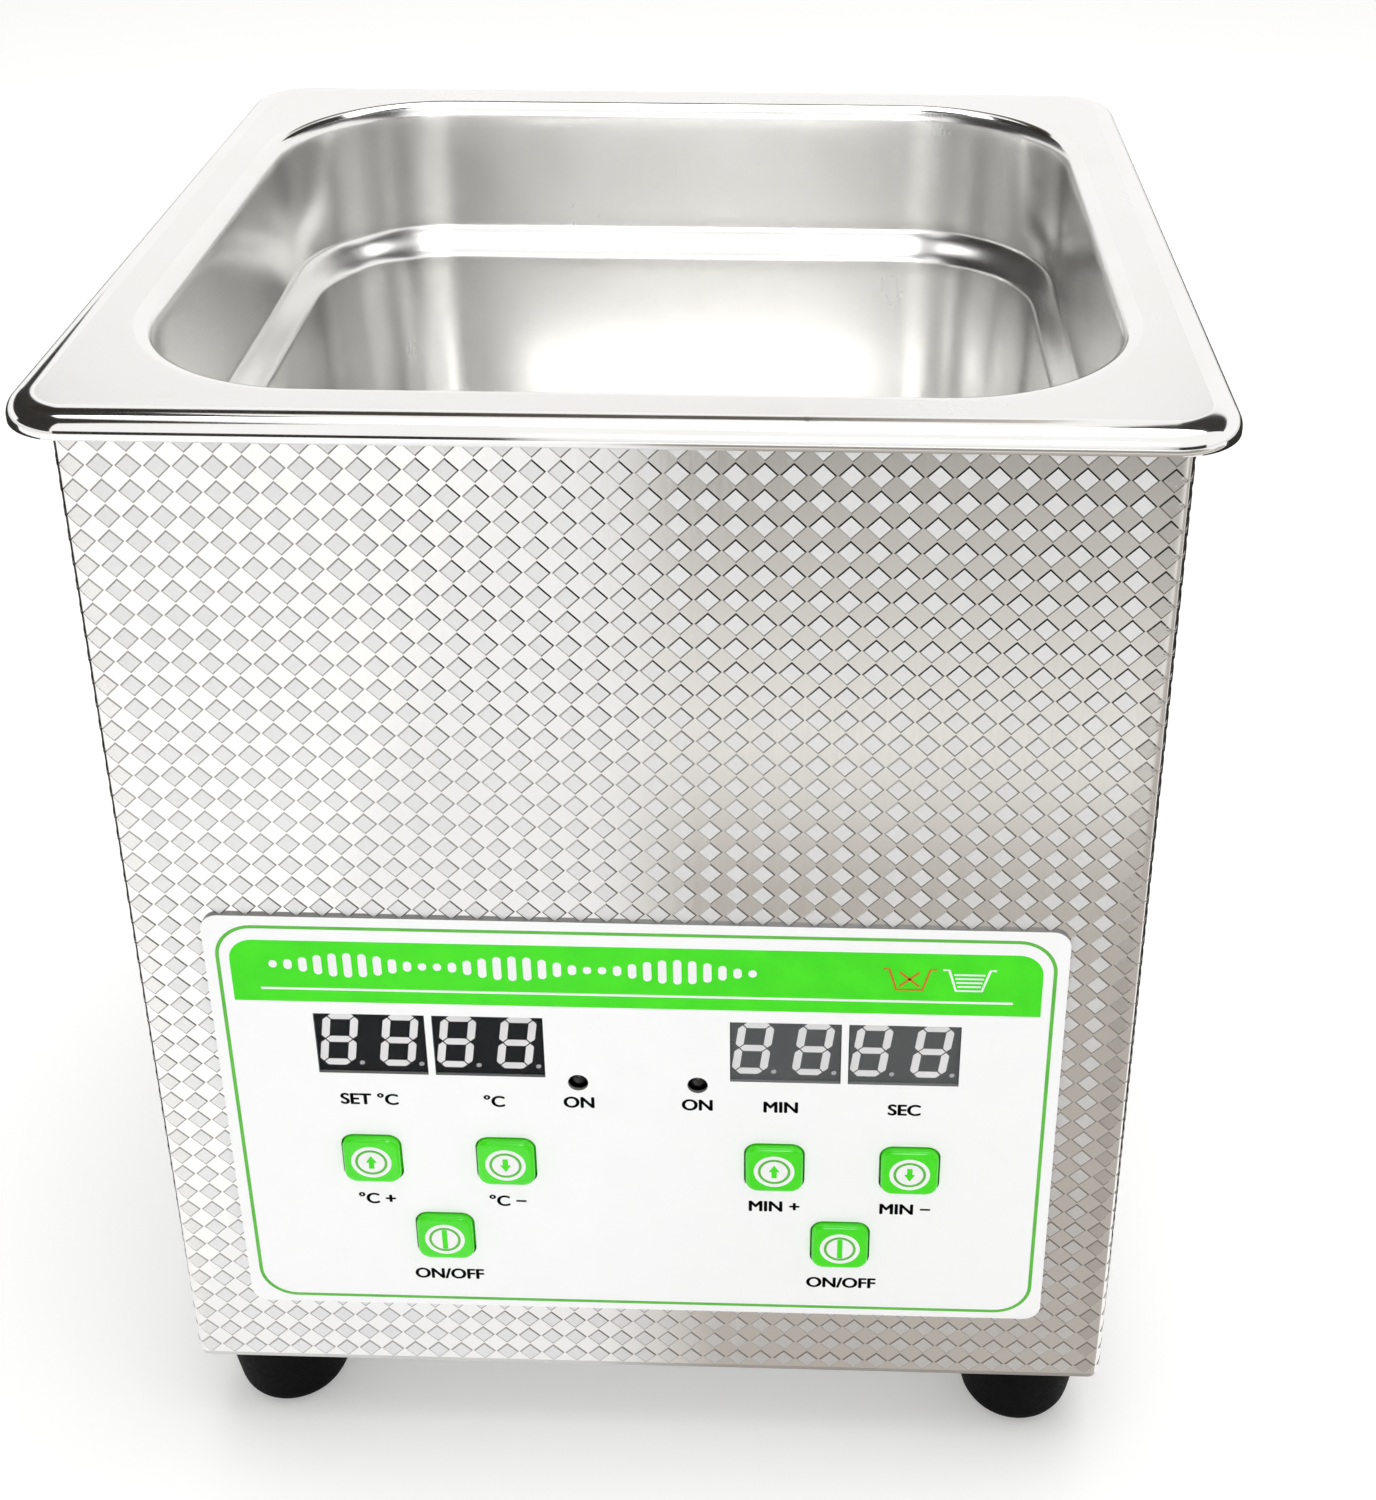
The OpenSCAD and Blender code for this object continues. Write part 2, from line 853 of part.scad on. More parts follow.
// Controller chip, ribbon socket and sensor socket on the back of the control board
module board_parts() {
    color([0.15, 0.15, 0.15])
    translate([0, board_back_y, board_z]) {
        translate([20, 0, -18])
            cube([20, 3, 8]);
        translate([ribbon_x - ribbon_w / 2 - 1, 0, -17])
            cube([ribbon_w + 2, socket_t, block_h]);
        translate([sensor_socket_x - sensor_socket_w / 2, 0, sensor_socket_z - sensor_socket_h / 2])
            cube([sensor_socket_w, sensor_socket_t, sensor_socket_h]);
    }
}

module transducer_head() {
    color("lightgray")
    translate([0, 0, tank_under_z - head_h])
        difference() {
            cylinder(r1 = piezo_r, r2 = head_r, h = head_h);
            translate([0, 0, -1])
                cylinder(r = bolt_r + slip, h = head_h * 0.7 + 1);
        }
}

module ring_plate(r, t) {
    linear_extrude(t)
        difference() {
            circle(r);
            circle(bolt_r + 2);
        }
}

module piezo_rings() {
    color([0.75, 0.7, 0.55])
    for (i = [0, 1])
        translate([0, 0, tank_under_z - head_h - piezo_t - i * (piezo_t + electrode_t)])
            ring_plate(piezo_r, piezo_t);
}

module electrodes() {
    color([0.8, 0.6, 0.2])
    for (i = [0, 1])
        translate([0, 0, tank_under_z - head_h - (i + 1) * (piezo_t + electrode_t)]) {
            ring_plate(piezo_r, electrode_t);
            rotate(60 + 60 * i)
                translate([piezo_r - 1, -2.5, 0])
                    cube([9, 5, electrode_t]);
        }
}

module transducer_tail() {
    color("gray")
    translate([0, 0, tail_z])
        difference() {
            cylinder(r = piezo_r, h = tail_h);
            translate([0, 0, -1])
                cylinder(r = bolt_r + 0.3, h = tail_h + 2);
        }
}

module transducer_bolt() {
    color([0.25, 0.25, 0.25])
    translate([0, 0, tail_z - bolt_head_h])
        difference() {
            union() {
                cylinder(r = 8, h = bolt_head_h);
                cylinder(r = bolt_r, h = bolt_head_h + tank_under_z - head_h * 0.4 - tail_z);
            }
            translate([0, 0, -1])
                cylinder(r = 4.6, h = 6, $fn = 6);
        }
}

module heater_pad() {
    color([0.75, 0.3, 0.15])
    translate([0, 0, pad_z])
        linear_extrude(pad_t)
            difference() {
                rrect(pad_w, pad_d, pad_corner_r);
                circle(head_r + 3);
                translate(sensor_at)
                    circle(sensor_r + 1.5);
            }
}

module thermal_cutout() {
    color([0.2, 0.2, 0.2])
    translate([cutout_at[0], cutout_at[1], pad_z - cutout_h])
        cylinder(r = cutout_r, h = cutout_h);
}

module temperature_sensor() {
    color([0.8, 0.65, 0.3])
    translate([sensor_at[0], sensor_at[1], tank_under_z - sensor_h])
        cylinder(r = sensor_r, h = sensor_h);
}

module driver_board() {
    color([0.1, 0.4, 0.2])
    translate([0, driver_y, driver_z])
        linear_extrude(board_t)
            difference() {
                square([driver_w, driver_d], center = true);
                for (x = [-1, 1], y = [-1, 1])
                    translate([x * standoff_x, y * standoff_y])
                        circle(m3_hole_r);
            }
}

// Stick-on board supports with a snap pin
module driver_standoffs() {
    color("white")
    for (x = [-1, 1], y = [-1, 1])
        translate([x * standoff_x, driver_y + y * standoff_y, base_top]) {
            cylinder(r = 5.5, h = 1.2);
            cylinder(r = 3, h = standoff_h);
            cylinder(r = m3_r, h = standoff_h + board_t + 1.2);
            translate([0, 0, standoff_h + board_t])
                cylinder(r1 = 2.2, r2 = m3_r, h = 1.2);
        }
}

module heat_sink() {
    color("darkgray")
    translate([sink_x, sink_y, parts_z]) {
        cube([sink_w, sink_t, sink_h]);
        for (i = [0:7])
            translate([fin_pitch * i, sink_t, 0])
                cube([fin_t, fin_l, sink_h]);
    }
}

module power_transistors() {
    color([0.12, 0.12, 0.12])
    for (x = [0.25, 0.75])
        translate([sink_x + sink_w * x, sink_y, parts_z]) {
            translate([-chip_w / 2, -chip_t, leg_h])
                cube([chip_w, chip_t, chip_h]);
            for (k = [-1, 0, 1])
                translate([k * chip_w * 0.3 - leg_h * 0.15, -chip_t / 2, 0])
                    cube([leg_h * 0.3, leg_h * 0.15, leg_h]);
        }
}

module inductor_core() {
    color([0.25, 0.25, 0.27])
    translate([core_at[0], core_at[1], parts_z])
        difference() {
            translate([-core_w / 2, -core_d / 2, 0])
                cube([core_w, core_d, core_h]);
            for (s = [-1, 1])
                translate([s * (core_leg + core_window) / 2 - core_window / 2, -core_d, core_yoke])
                    cube([core_window, 2 * core_d, core_h - 2 * core_yoke]);
        }
}

module inductor_winding() {
    h = core_h - 2 * core_yoke - 2 * slack;
    leg = [core_leg + 2 * slack, core_d + 2 * slack, 3 * h];
    color([0.75, 0.4, 0.15])
    translate([core_at[0], core_at[1], parts_z + core_yoke + slack])
        difference() {
            cylinder(r = core_leg / 2 + core_window - 0.8, h = h);
            cube(leg, center = true);
        }
}

module capacitors() {
    color([0.1, 0.15, 0.3]) {
        for (i = [0, 1])
            translate([sink_x - can_r - 2 - i * (2 * can_r + 1), driver_y + 19, parts_z])
                cylinder(r = can_r, h = can_h);
        for (i = [0, 1])
            translate([driver_left + 7 + i * (film_w + 1), driver_y - block_d - 12.5, parts_z])
                cube([film_w, block_d, film_h]);
    }
}

// Mains, heater, transducer, fuse and ribbon blocks on the driver board
module terminal_blocks() {
    color([0.15, 0.35, 0.6])
    translate([0, driver_y, parts_z]) {
        translate([driver_left + 7, 1, 0])
            cube([22, block_d, block_h]);
        translate([driver_left + 22, -12, 0])
            cube([16, block_d, block_h]);
        translate([-8, -12, 0])
            cube([16, block_d, block_h]);
        translate([driver_left + 1, -10, 0])
            cube([20, block_d - 1, block_h + 1]);
        translate([ribbon_x - ribbon_w / 2 - 1, -28, 0])
            cube([ribbon_w + 2, socket_t, block_h]);
    }
}

module socket_outline() {
    cut = 4;
    polygon([[-socket_w / 2, -socket_h / 2], [socket_w / 2, -socket_h / 2],
        [socket_w / 2, socket_h / 2 - cut], [socket_w / 2 - cut, socket_h / 2],
        [cut - socket_w / 2, socket_h / 2], [-socket_w / 2, socket_h / 2 - cut]]);
}

module pin_shape() {
    for (p = pins)
        translate(p)
            square([pin_w, pin_h], center = true);
}

module mains_inlet() {
    color([0.07, 0.07, 0.07])
    translate([inlet_x, 0, inlet_z])
        difference() {
            union() {
                upright(rear_y, inlet_flange_t)
                    rrect(inlet_flange_w, inlet_flange_h, inlet_corner_r);
                upright(inlet_tail_y, inlet_depth)
                    square([inlet_w, inlet_h], center = true);
            }
            upright(rear_y + inlet_flange_t - socket_depth, socket_depth + 1)
                socket_outline();
            upright(inlet_tail_y - 1, inlet_depth)
                pin_shape();
            upright(rear_y - 1, inlet_flange_t + 2)
                for (x = [-inlet_hole_x, inlet_hole_x])
                    translate([x, 0])
                        circle(m3_hole_r);
        }
}

module inlet_pins() {
    color("silver")
    translate([inlet_x, 0, inlet_z])
        upright(tab_y, rear_y - 3 - tab_y)
            pin_shape();
}

module inlet_fixings() {
    color("silver")
    for (x = [-inlet_hole_x, inlet_hole_x])
        translate([inlet_x + x, 0, inlet_z]) {
            translate([0, rear_y + inlet_flange_t, 0])
                rotate([90, 0, 0])
                    pan_screw(m3_r, inlet_flange_t + casing_sheet + 4, m3_head_r, m3_head_h);
            upright(inner_rear_y - 2.4, 2.4)
                difference() {
                    circle(3.1, $fn = 6);
                    circle(m3_r + slip);
                }
        }
}

// Flat cable from the control board, past the transducer, to the driver board
module ribbon_cable() {
    r = ribbon_bend;
    start = [board_back_y + socket_t, board_z - 17 + block_h / 2];
    stop = [driver_y - 28 + socket_t / 2, block_z];
    low = stop[1] + r;
    path = concat(
        [start],
        arc([start[0] + r + 1, start[1] - r], r, 90, 0, 5),
        arc([start[0] + 3 * r + 1, low + r], r, 180, 270, 5),
        arc([stop[0] - r, low - r], r, 90, 0, 5),
        [stop]);
    color([0.6, 0.6, 0.65])
    translate([ribbon_x - ribbon_w / 2, 0, 0])
        rotate([90, 0, 90])
            linear_extrude(ribbon_w)
                polygon(thick(path, ribbon_t, [0, 1], [1, 0]));
}

// Mains, earth, transducer, heater and sensor leads
module wire_leads() {
    tab_z = tank_under_z - head_h - piezo_t - electrode_t;
    tab_out = piezo_r + 6.5;
    out_y = driver_y - 12 + block_d / 2;
    mains_x = driver_left + 18;
    mains_y = driver_y + 1 + block_d / 2;
    heater_x = driver_left + 30;
    sensor_z = tank_under_z - sensor_h;
    color([0.7, 0.2, 0.15]) {
        for (i = [0, 1])
            let (x = inlet_x + pins[i][0], end_x = mains_x + pins[i][0] * 0.7)
            wire([[x, tab_y, inlet_z - 2], [x, tab_y - 4, inlet_z - 2], [x, mains_y - 2, inlet_z - 18],
                [end_x, mains_y, block_z + 10], [end_x, mains_y, block_z]], lead_r);
        wire([[inlet_x, tab_y, inlet_z + 2], [inlet_x, tab_y - 5, inlet_z + 2],
            [inlet_x - 14, driver_y - 2, inlet_z - 6], [earth_at[0], earth_at[1] + 8, inlet_z - 24],
            [earth_at[0], earth_at[1], stud_top + 8], [earth_at[0], earth_at[1], stud_top]], lead_r);
        for (i = [0, 1])
            let (s = 1 - 2 * i, z = tab_z - i * (piezo_t + electrode_t), a = 60 + 60 * i)
            let (x = tab_out * cos(a), y = tab_out * sin(a))
            wire([[x, y, z], [x, y, z - 5], [s * 13, y + 3, z - 16], [s * 5, out_y, block_z + 10],
                [s * 5, out_y, block_z]], lead_r);
        for (s = [-1, 1])
            wire([[s * 4, pad_d / 2 - 5, pad_z], [s * 4, pad_d / 2 - 5, pad_z - 7],
                [s * 4 - 16, driver_y + 1, pad_z - 30], [heater_x + s * 4, out_y, block_z + 12],
                [heater_x + s * 4, out_y, block_z]], lead_r);
        wire([[sensor_at[0], sensor_at[1], sensor_z], [sensor_at[0], sensor_at[1], sensor_z - 4],
            [sensor_socket_x - 1, sensor_at[1] - 14, board_z + sensor_socket_z + 2],
            [sensor_socket_x, board_back_y + 2 * sensor_socket_t, board_z + sensor_socket_z],
            [sensor_socket_x, board_back_y + sensor_socket_t, board_z + sensor_socket_z]], lead_r);
    }
}

tank();
rim_gasket();
casing_wrap();
rear_panel();
rear_screws();
base_plate();
base_screws();
foot_front_left();
foot_front_right();
foot_rear_left();
foot_rear_right();
foot_screws();
foot_nuts();
panel_overlay();
display_lens_left();
display_lens_right();
display_set_temp();
display_temp();
display_minutes();
display_seconds();
lamp_heat();
lamp_timer();
key_temp_up();
key_temp_down();
key_heat();
key_time_up();
key_time_down();
key_timer();
stem_temp_up();
stem_temp_down();
stem_heat();
stem_time_up();
stem_time_down();
stem_timer();
switch_bodies();
control_board();
board_spacers();
board_nuts();
board_parts();
transducer_head();
piezo_rings();
electrodes();
transducer_tail();
transducer_bolt();
heater_pad();
thermal_cutout();
temperature_sensor();
driver_board();
driver_standoffs();
heat_sink();
power_transistors();
inductor_core();
inductor_winding();
capacitors();
terminal_blocks();
mains_inlet();
inlet_pins();
inlet_fixings();
ribbon_cable();
wire_leads();
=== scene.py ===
"""Looks of the bench ultrasonic cleaner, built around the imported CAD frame."""

import json
import math

import bmesh
import bpy
from mathutils import Matrix, Vector

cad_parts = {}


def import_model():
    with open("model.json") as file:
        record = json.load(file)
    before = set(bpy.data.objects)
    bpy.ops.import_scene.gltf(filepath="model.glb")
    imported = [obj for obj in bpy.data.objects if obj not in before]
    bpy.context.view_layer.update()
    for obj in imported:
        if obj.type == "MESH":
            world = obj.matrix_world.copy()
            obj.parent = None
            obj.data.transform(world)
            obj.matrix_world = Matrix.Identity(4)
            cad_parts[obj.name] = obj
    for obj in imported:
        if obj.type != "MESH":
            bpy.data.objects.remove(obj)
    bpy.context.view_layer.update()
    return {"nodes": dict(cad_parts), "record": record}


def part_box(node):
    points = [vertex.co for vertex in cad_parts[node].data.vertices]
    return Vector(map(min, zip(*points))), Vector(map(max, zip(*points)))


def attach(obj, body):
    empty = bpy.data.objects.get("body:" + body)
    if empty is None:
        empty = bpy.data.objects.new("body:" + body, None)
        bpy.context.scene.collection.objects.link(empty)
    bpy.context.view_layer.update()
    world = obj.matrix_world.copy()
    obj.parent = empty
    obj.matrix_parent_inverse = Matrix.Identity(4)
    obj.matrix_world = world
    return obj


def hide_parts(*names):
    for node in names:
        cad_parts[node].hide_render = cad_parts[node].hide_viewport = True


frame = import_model()
nodes = frame["nodes"]

MM = 0.001
BODY = "cleaner"

# Sizes in millimetres that the CAD frame's boxes don't give
ROLL_R = 3
EDGE_R = 2.8
CROWN_R = 9
CROWN_TURN = 14
SKIRT_H = 3.6
SHEET = 0.8
FLANGE_W = 13
RIM_CORNER_R = 10.5
OPENING_CORNER_R = 29
LIP_R = 3
UPPER_DRAFT = 0.5
SHOULDER_DEPTH = 25.5
SHOULDER_DROP = 6
SHOULDER_STEP = 4.5
WALL_DRAFT = 2
FLOOR_R = 14
BEND_R = 2
PRINT_T = 0.03


def box_mm(node):
    """Lowest and highest corner of a node, in millimetres."""
    low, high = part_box(node)
    return low / MM, high / MM


# Boxes of the main nodes in millimetres
rim_low, rim_high = box_mm("tank")
wrap_low, wrap_high = box_mm("casing_wrap")
rear_low, rear_high = box_mm("rear_panel")
inlet_low, inlet_high = box_mm("mains_inlet")
screws_low, screws_high = box_mm("rear_screws")
panel_low, panel_high = box_mm("panel_overlay")
panel_z = (panel_low.z + panel_high.z) / 2
panel_front = panel_low.y


# Mesh helpers

def mesh_object(name, verts, faces, materials, smooth=True, face_materials=None, body=BODY):
    """A mesh piece in millimetres that rides on a body."""
    mesh = bpy.data.meshes.new(name)
    mesh.from_pydata([Vector(v) * MM for v in verts], [], faces)
    for m in materials:
        mesh.materials.append(m)
    if face_materials:
        mesh.polygons.foreach_set("material_index", face_materials)
    mesh.polygons.foreach_set("use_smooth", [smooth] * len(mesh.polygons))
    mesh.update()
    obj = bpy.data.objects.new(name, mesh)
    bpy.context.scene.collection.objects.link(obj)
    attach(obj, body)
    return obj


def loft(rings):
    """Vertices and faces of a closed skin over rings with the same number of points."""
    n = len(rings[0])
    verts = [p for ring in rings for p in ring]
    faces = []
    for i in range(len(rings) - 1):
        for k in range(n):
            a, b = i * n + k, i * n + (k + 1) % n
            faces.append((a, b, b + n, a + n))
    faces.append(tuple(range(n - 1, -1, -1)))
    faces.append(tuple(range((len(rings) - 1) * n, len(rings) * n)))
    return verts, faces


def rounded_rect(half_x, half_y, r, corner_steps=16, side_steps=1):
    """Points round a rectangle with round corners, anticlockwise from the +X side."""
    points = []
    for quarter, (sx, sy) in enumerate(((1, 1), (-1, 1), (-1, -1), (1, -1))):
        centre = Vector((sx * (half_x - r), sy * (half_y - r)))
        for i in range(corner_steps + 1):
            a = math.radians(90 * (quarter + i / corner_steps))
            points.append(centre + r * Vector((math.cos(a), math.sin(a))))
        following = ((-1, 1), (-1, -1), (1, -1), (1, 1))[quarter]
        start = points[-1]
        turn = math.radians(90 * (quarter + 1))
        stop = Vector((following[0] * (half_x - r), following[1] * (half_y - r)))
        stop = stop + r * Vector((math.cos(turn), math.sin(turn)))
        for i in range(1, side_steps):
            points.append(start.lerp(stop, i / side_steps))
    return points


def arc_points(cx, cy, r, start, stop, steps):
    """Points along an arc, with angles in degrees."""
    out = []
    for i in range(steps + 1):
        a = math.radians(start + (stop - start) * i / steps)
        out.append((cx + r * math.cos(a), cy + r * math.sin(a)))
    return out


# Material helpers

class Surface:
    """A node material around one Principled shader, with object coordinates in metres."""

    def __init__(self, name):
        self.material = bpy.data.materials.new(name)
        self.material.use_nodes = True
        self.tree = self.material.node_tree
        self.shader = self.tree.nodes["Principled BSDF"]
        self.output = self.tree.nodes["Material Output"]
        self.place = self.add("ShaderNodeTexCoord").outputs["Object"]

    def add(self, kind, **values):
        node = self.tree.nodes.new(kind)
        for key, value in values.items():
            if hasattr(node, key):
                setattr(node, key, value)
            else:
                node.inputs[key].default_value = value
        return node

    def link(self, source, target):
        self.tree.links.new(source, target)

    def set(self, **values):
        for key, value in values.items():
            self.shader.inputs[key.replace("_", " ")].default_value = value

    def scaled(self, stretch):
        mapping = self.add("ShaderNodeMapping", Scale=stretch)
        self.link(self.place, mapping.inputs["Vector"])
        return mapping.outputs["Vector"]

    def noise(self, scale, detail=3.0, rough=0.55, stretch=None):
        node = self.add("ShaderNodeTexNoise", Scale=scale, Detail=detail, Roughness=rough)
        self.link(self.scaled(stretch) if stretch else self.place, node.inputs["Vector"])
        return node.outputs["Fac"]

    def ranged(self, value, low, high, source=(0.3, 0.7)):
        node = self.add("ShaderNodeMapRange", **{
            "From Min": source[0], "From Max": source[1], "To Min": low, "To Max": high})
        self.link(value, node.inputs["Value"])
        return node.outputs["Result"]

    def mixed(self, factor, a, b):
        node = self.add("ShaderNodeMix", data_type="RGBA")
        self.link(factor, node.inputs["Factor"])
        for index, value in ((6, a), (7, b)):
            if hasattr(value, "is_linked"):
                self.link(value, node.inputs[index])
            else:
                node.inputs[index].default_value = (*value, 1)
        return node.outputs[2]

    def tint(self, cloud, dark, light):
        """Base colour that wanders between two colours."""
        self.link(self.mixed(self.ranged(cloud, 0, 1), dark, light), self.shader.inputs["Base Color"])

    def rough(self, value, low, high):
        """Roughness that wanders between two values."""
        self.link(self.ranged(value, low, high), self.shader.inputs["Roughness"])

    def axis(self, vector, letter):
        """One part of a vector."""
        node = self.add("ShaderNodeSeparateXYZ")
        self.link(vector, node.inputs["Vector"])
        return node.outputs[letter]

    def bump(self, height, strength, distance):
        node = self.add("ShaderNodeBump", Strength=strength, Distance=distance)
        self.link(height, node.inputs["Height"])
        self.link(node.outputs["Normal"], self.shader.inputs["Normal"])


# Scale of a finish's slow clouds as a share of its grain
CLOUD_SHARE = 0.08


def finish(name, light, dark, rough, metallic=0.0, grain=900, stretch=None, bump=0.1, depth=2e-5, **sockets):
    """A finish whose colour and roughness wander between two values, with a fine grain."""
    s = Surface(name)
    cloud = s.noise(grain * CLOUD_SHARE, 4.0)
    fine = s.noise(grain, 3.0, stretch=stretch)
    s.tint(cloud, dark, light)
    s.rough(fine, *rough)
    s.bump(fine, bump, depth)
    s.set(Metallic=metallic, **sockets)
    return s.material


# Materials

def tank_steel(name, rough):
    """Drawn stainless sheet, a little uneven, with faint lines down the walls."""
    s = Surface(name)
    cloud = s.noise(45, 3.0)
    lines = s.noise(700, 2.0, stretch=(1, 1, 0.02))
    s.tint(cloud, (0.91, 0.905, 0.89), (0.95, 0.945, 0.935))
    both = s.add("ShaderNodeMath", operation="ADD")
    s.link(s.ranged(lines, 0.0, 0.012), both.inputs[0])
    s.link(s.ranged(cloud, *rough), both.inputs[1])
    s.link(both.outputs[0], s.shader.inputs["Roughness"])
    s.set(Metallic=1.0)
    return s.material


def casing_ground():
    """Bright rolled sheet between the pads."""
    s = Surface("casing_ground")
    cloud = s.noise(20, 3.0)
    grain = s.noise(1600, 2.0, stretch=(1, 1, 0.15))
    s.tint(cloud, (0.86, 0.85, 0.835), (0.92, 0.915, 0.90))
    s.rough(grain, 0.10, 0.17)
    s.bump(grain, 0.05, 1e-5)
    s.set(Metallic=1.0)
    return s.material


# Metallic share of the pads: first and last value, and the heights in metres between which it changes; the
# lower pads get more metal and so render darker, as painted shade
PAD_SHADE_METAL = (0.9, 0.3)
PAD_SHADE_METAL_Z = (0.05, 0.17)


def casing_pad():
    """Satin top of the raised diamonds, with painted shade: more metallic and so darker towards the bottom.
    """
    s = Surface("casing_pad")
    cloud = s.noise(60, 3.0)
    grain = s.noise(2400, 3.0)
    s.tint(cloud, (0.76, 0.76, 0.765), (0.82, 0.82, 0.825))
    s.rough(grain, 0.42, 0.58)
    s.bump(grain, 0.25, 2e-5)
    s.link(s.ranged(s.axis(s.place, "Z"), *PAD_SHADE_METAL, PAD_SHADE_METAL_Z), s.shader.inputs["Metallic"])
    return s.material


def panel_white():
    """White printed sheet whose cut edges carry painted shade: faces turned away from the front, round its
    outline and its holes, take a dark grey that stands in for the shadow line along them.
    """
    s = Surface("panel_white")
    cloud = s.noise(144, 4.0)
    fine = s.noise(1800, 3.0)
    face = s.mixed(s.ranged(cloud, 0, 1), (0.93, 0.933, 0.938), (0.945, 0.948, 0.952))
    facing = s.add("ShaderNodeMath", operation="ABSOLUTE")
    s.link(s.axis(s.add("ShaderNodeNewGeometry").outputs["Normal"], "Y"), facing.inputs[0])
    # Painted shade: the less a face looks to the front, the more it takes of the dark grey in place of the
    # white.
    share = s.ranged(facing.outputs[0], 0, 1, (0.3, 0.8))
    s.link(s.mixed(share, (0.24, 0.24, 0.235), face), s.shader.inputs["Base Color"])
    s.rough(fine, 0.30, 0.40)
    s.bump(fine, 0.08, 1e-5)
    return s.material


def circuit_board(name):
    """Solder mask over copper tracks."""
    s = Surface(name)
    tracks = s.add("ShaderNodeTexBrick", Scale=90.0, **{"Mortar Size": 0.03, "Row Height": 0.35})
    s.link(s.place, tracks.inputs["Vector"])
    cloud = s.noise(120, 3.0)
    mask = s.mixed(s.ranged(cloud, 0, 1), (0.015, 0.11, 0.045), (0.025, 0.17, 0.07))
    s.link(s.mixed(tracks.outputs["Fac"], mask, (0.05, 0.26, 0.11)), s.shader.inputs["Base Color"])
    s.rough(cloud, 0.3, 0.42)
    s.bump(tracks.outputs["Fac"], 0.3, 3e-5)
    return s.material


def clear_pane(name, haze):
    """Thin clear window: a faint skin over what lies behind it."""
    s = Surface(name)
    smear = s.noise(90, 3.0)
    s.rough(smear, 0.05, 0.12)
    s.tint(smear, (0.80, 0.84, 0.86), (0.88, 0.90, 0.91))
    s.set(Alpha=haze)
    return s.material


def print_ink(name, light, dark):
    """Screen-printed ink with a fine speckle."""
    return finish(name, light, dark, (0.34, 0.46), grain=2200, bump=0.04, depth=1e-5, Specular_IOR_Level=0.2)


GREEN = ((0.06, 0.80, 0.005), (0.045, 0.72, 0.004))
METAL = {"metallic": 1.0}

# Plain finishes: light and dark colour, range of roughness, and what else differs
FINISHES = {
    # pad_edge: darker steel on the sides of the diamonds, painted shade and painted dark reflection standing
    # in for the dark outlines round the pads
    "pad_edge": ((0.44, 0.425, 0.41), (0.35, 0.335, 0.32), (0.08, 0.14), METAL),
    "pad_bend": ((0.80, 0.79, 0.775), (0.72, 0.71, 0.695), (0.18, 0.28), METAL),
    "base_steel": ((0.66, 0.66, 0.65), (0.56, 0.56, 0.55), (0.28, 0.42), {**METAL, "stretch": (0.06, 1, 1)}),
    "screw_steel": ((0.68, 0.68, 0.69), (0.52, 0.52, 0.53), (0.22, 0.38), {**METAL, "grain": 1500}),
    "steel_dark": ((0.10, 0.10, 0.11), (0.05, 0.05, 0.055), (0.35, 0.5), {**METAL, "grain": 1200}),
    "silicone_white": ((0.82, 0.82, 0.80), (0.74, 0.74, 0.72), (0.5, 0.65), {}),
    "silicone_red": ((0.52, 0.13, 0.06), (0.42, 0.09, 0.04), (0.5, 0.7), {"bump": 0.3}),
    "rubber_black": ((0.003, 0.003, 0.003), (0.0015, 0.0015, 0.0015), (0.5, 0.65),
                     {"grain": 1400, "bump": 0.2, "depth": 4e-5, "Specular_IOR_Level": 0.03}),
    "display_black": ((0.005, 0.005, 0.006), (0.003, 0.003, 0.004), (0.3, 0.4),
                      {"grain": 1200, "Specular_IOR_Level": 0.0}),
    "segment": ((0.84, 0.83, 0.83), (0.70, 0.69, 0.70), (0.35, 0.5), {"bump": 0.15}),
    "segment_dim": ((0.42, 0.42, 0.43), (0.32, 0.32, 0.33), (0.35, 0.5), {"bump": 0.15}),
    "lamp_dark": ((0.012, 0.010, 0.010), (0.006, 0.005, 0.005), (0.15, 0.25), {}),
    "key_green": (*GREEN, (0.12, 0.20), {"bump": 0.06}),
    "plastic_black": ((0.03, 0.03, 0.032), (0.02, 0.02, 0.021), (0.38, 0.52),
                      {"grain": 1500, "bump": 0.2, "depth": 3e-5}),
    "nylon_white": ((0.80, 0.80, 0.77), (0.73, 0.73, 0.70), (0.4, 0.55), {"grain": 700}),
    "aluminium_bare": ((0.74, 0.75, 0.76), (0.64, 0.65, 0.66), (0.26, 0.4), {**METAL, "stretch": (1, 1, 12)}),
    "ceramic": ((0.58, 0.53, 0.42), (0.50, 0.45, 0.35), (0.4, 0.6), {"bump": 0.2}),
    "brass_sheet": ((0.72, 0.53, 0.24), (0.60, 0.43, 0.18), (0.25, 0.4), METAL),
    "ferrite": ((0.07, 0.07, 0.075), (0.045, 0.045, 0.05), (0.45, 0.65), {"grain": 1200, "bump": 0.3}),
    "copper_wire": ((0.62, 0.29, 0.12), (0.48, 0.20, 0.07), (0.25, 0.4),
                    {**METAL, "grain": 500, "stretch": (0.2, 0.2, 6), "bump": 0.8, "depth": 2e-4}),
    "capacitor_sleeve": ((0.03, 0.05, 0.15), (0.02, 0.035, 0.11), (0.2, 0.35), {"grain": 700}),
    "terminal_blue": ((0.06, 0.15, 0.36), (0.045, 0.12, 0.30), (0.4, 0.55), {}),
    "ribbon_grey": ((0.46, 0.46, 0.48), (0.38, 0.38, 0.40), (0.4, 0.55),
                    {"grain": 420, "stretch": (3, 0.05, 0.05), "bump": 0.6, "depth": 1e-4}),
    "wire_red": ((0.46, 0.045, 0.035), (0.36, 0.03, 0.025), (0.35, 0.5), {}),
}

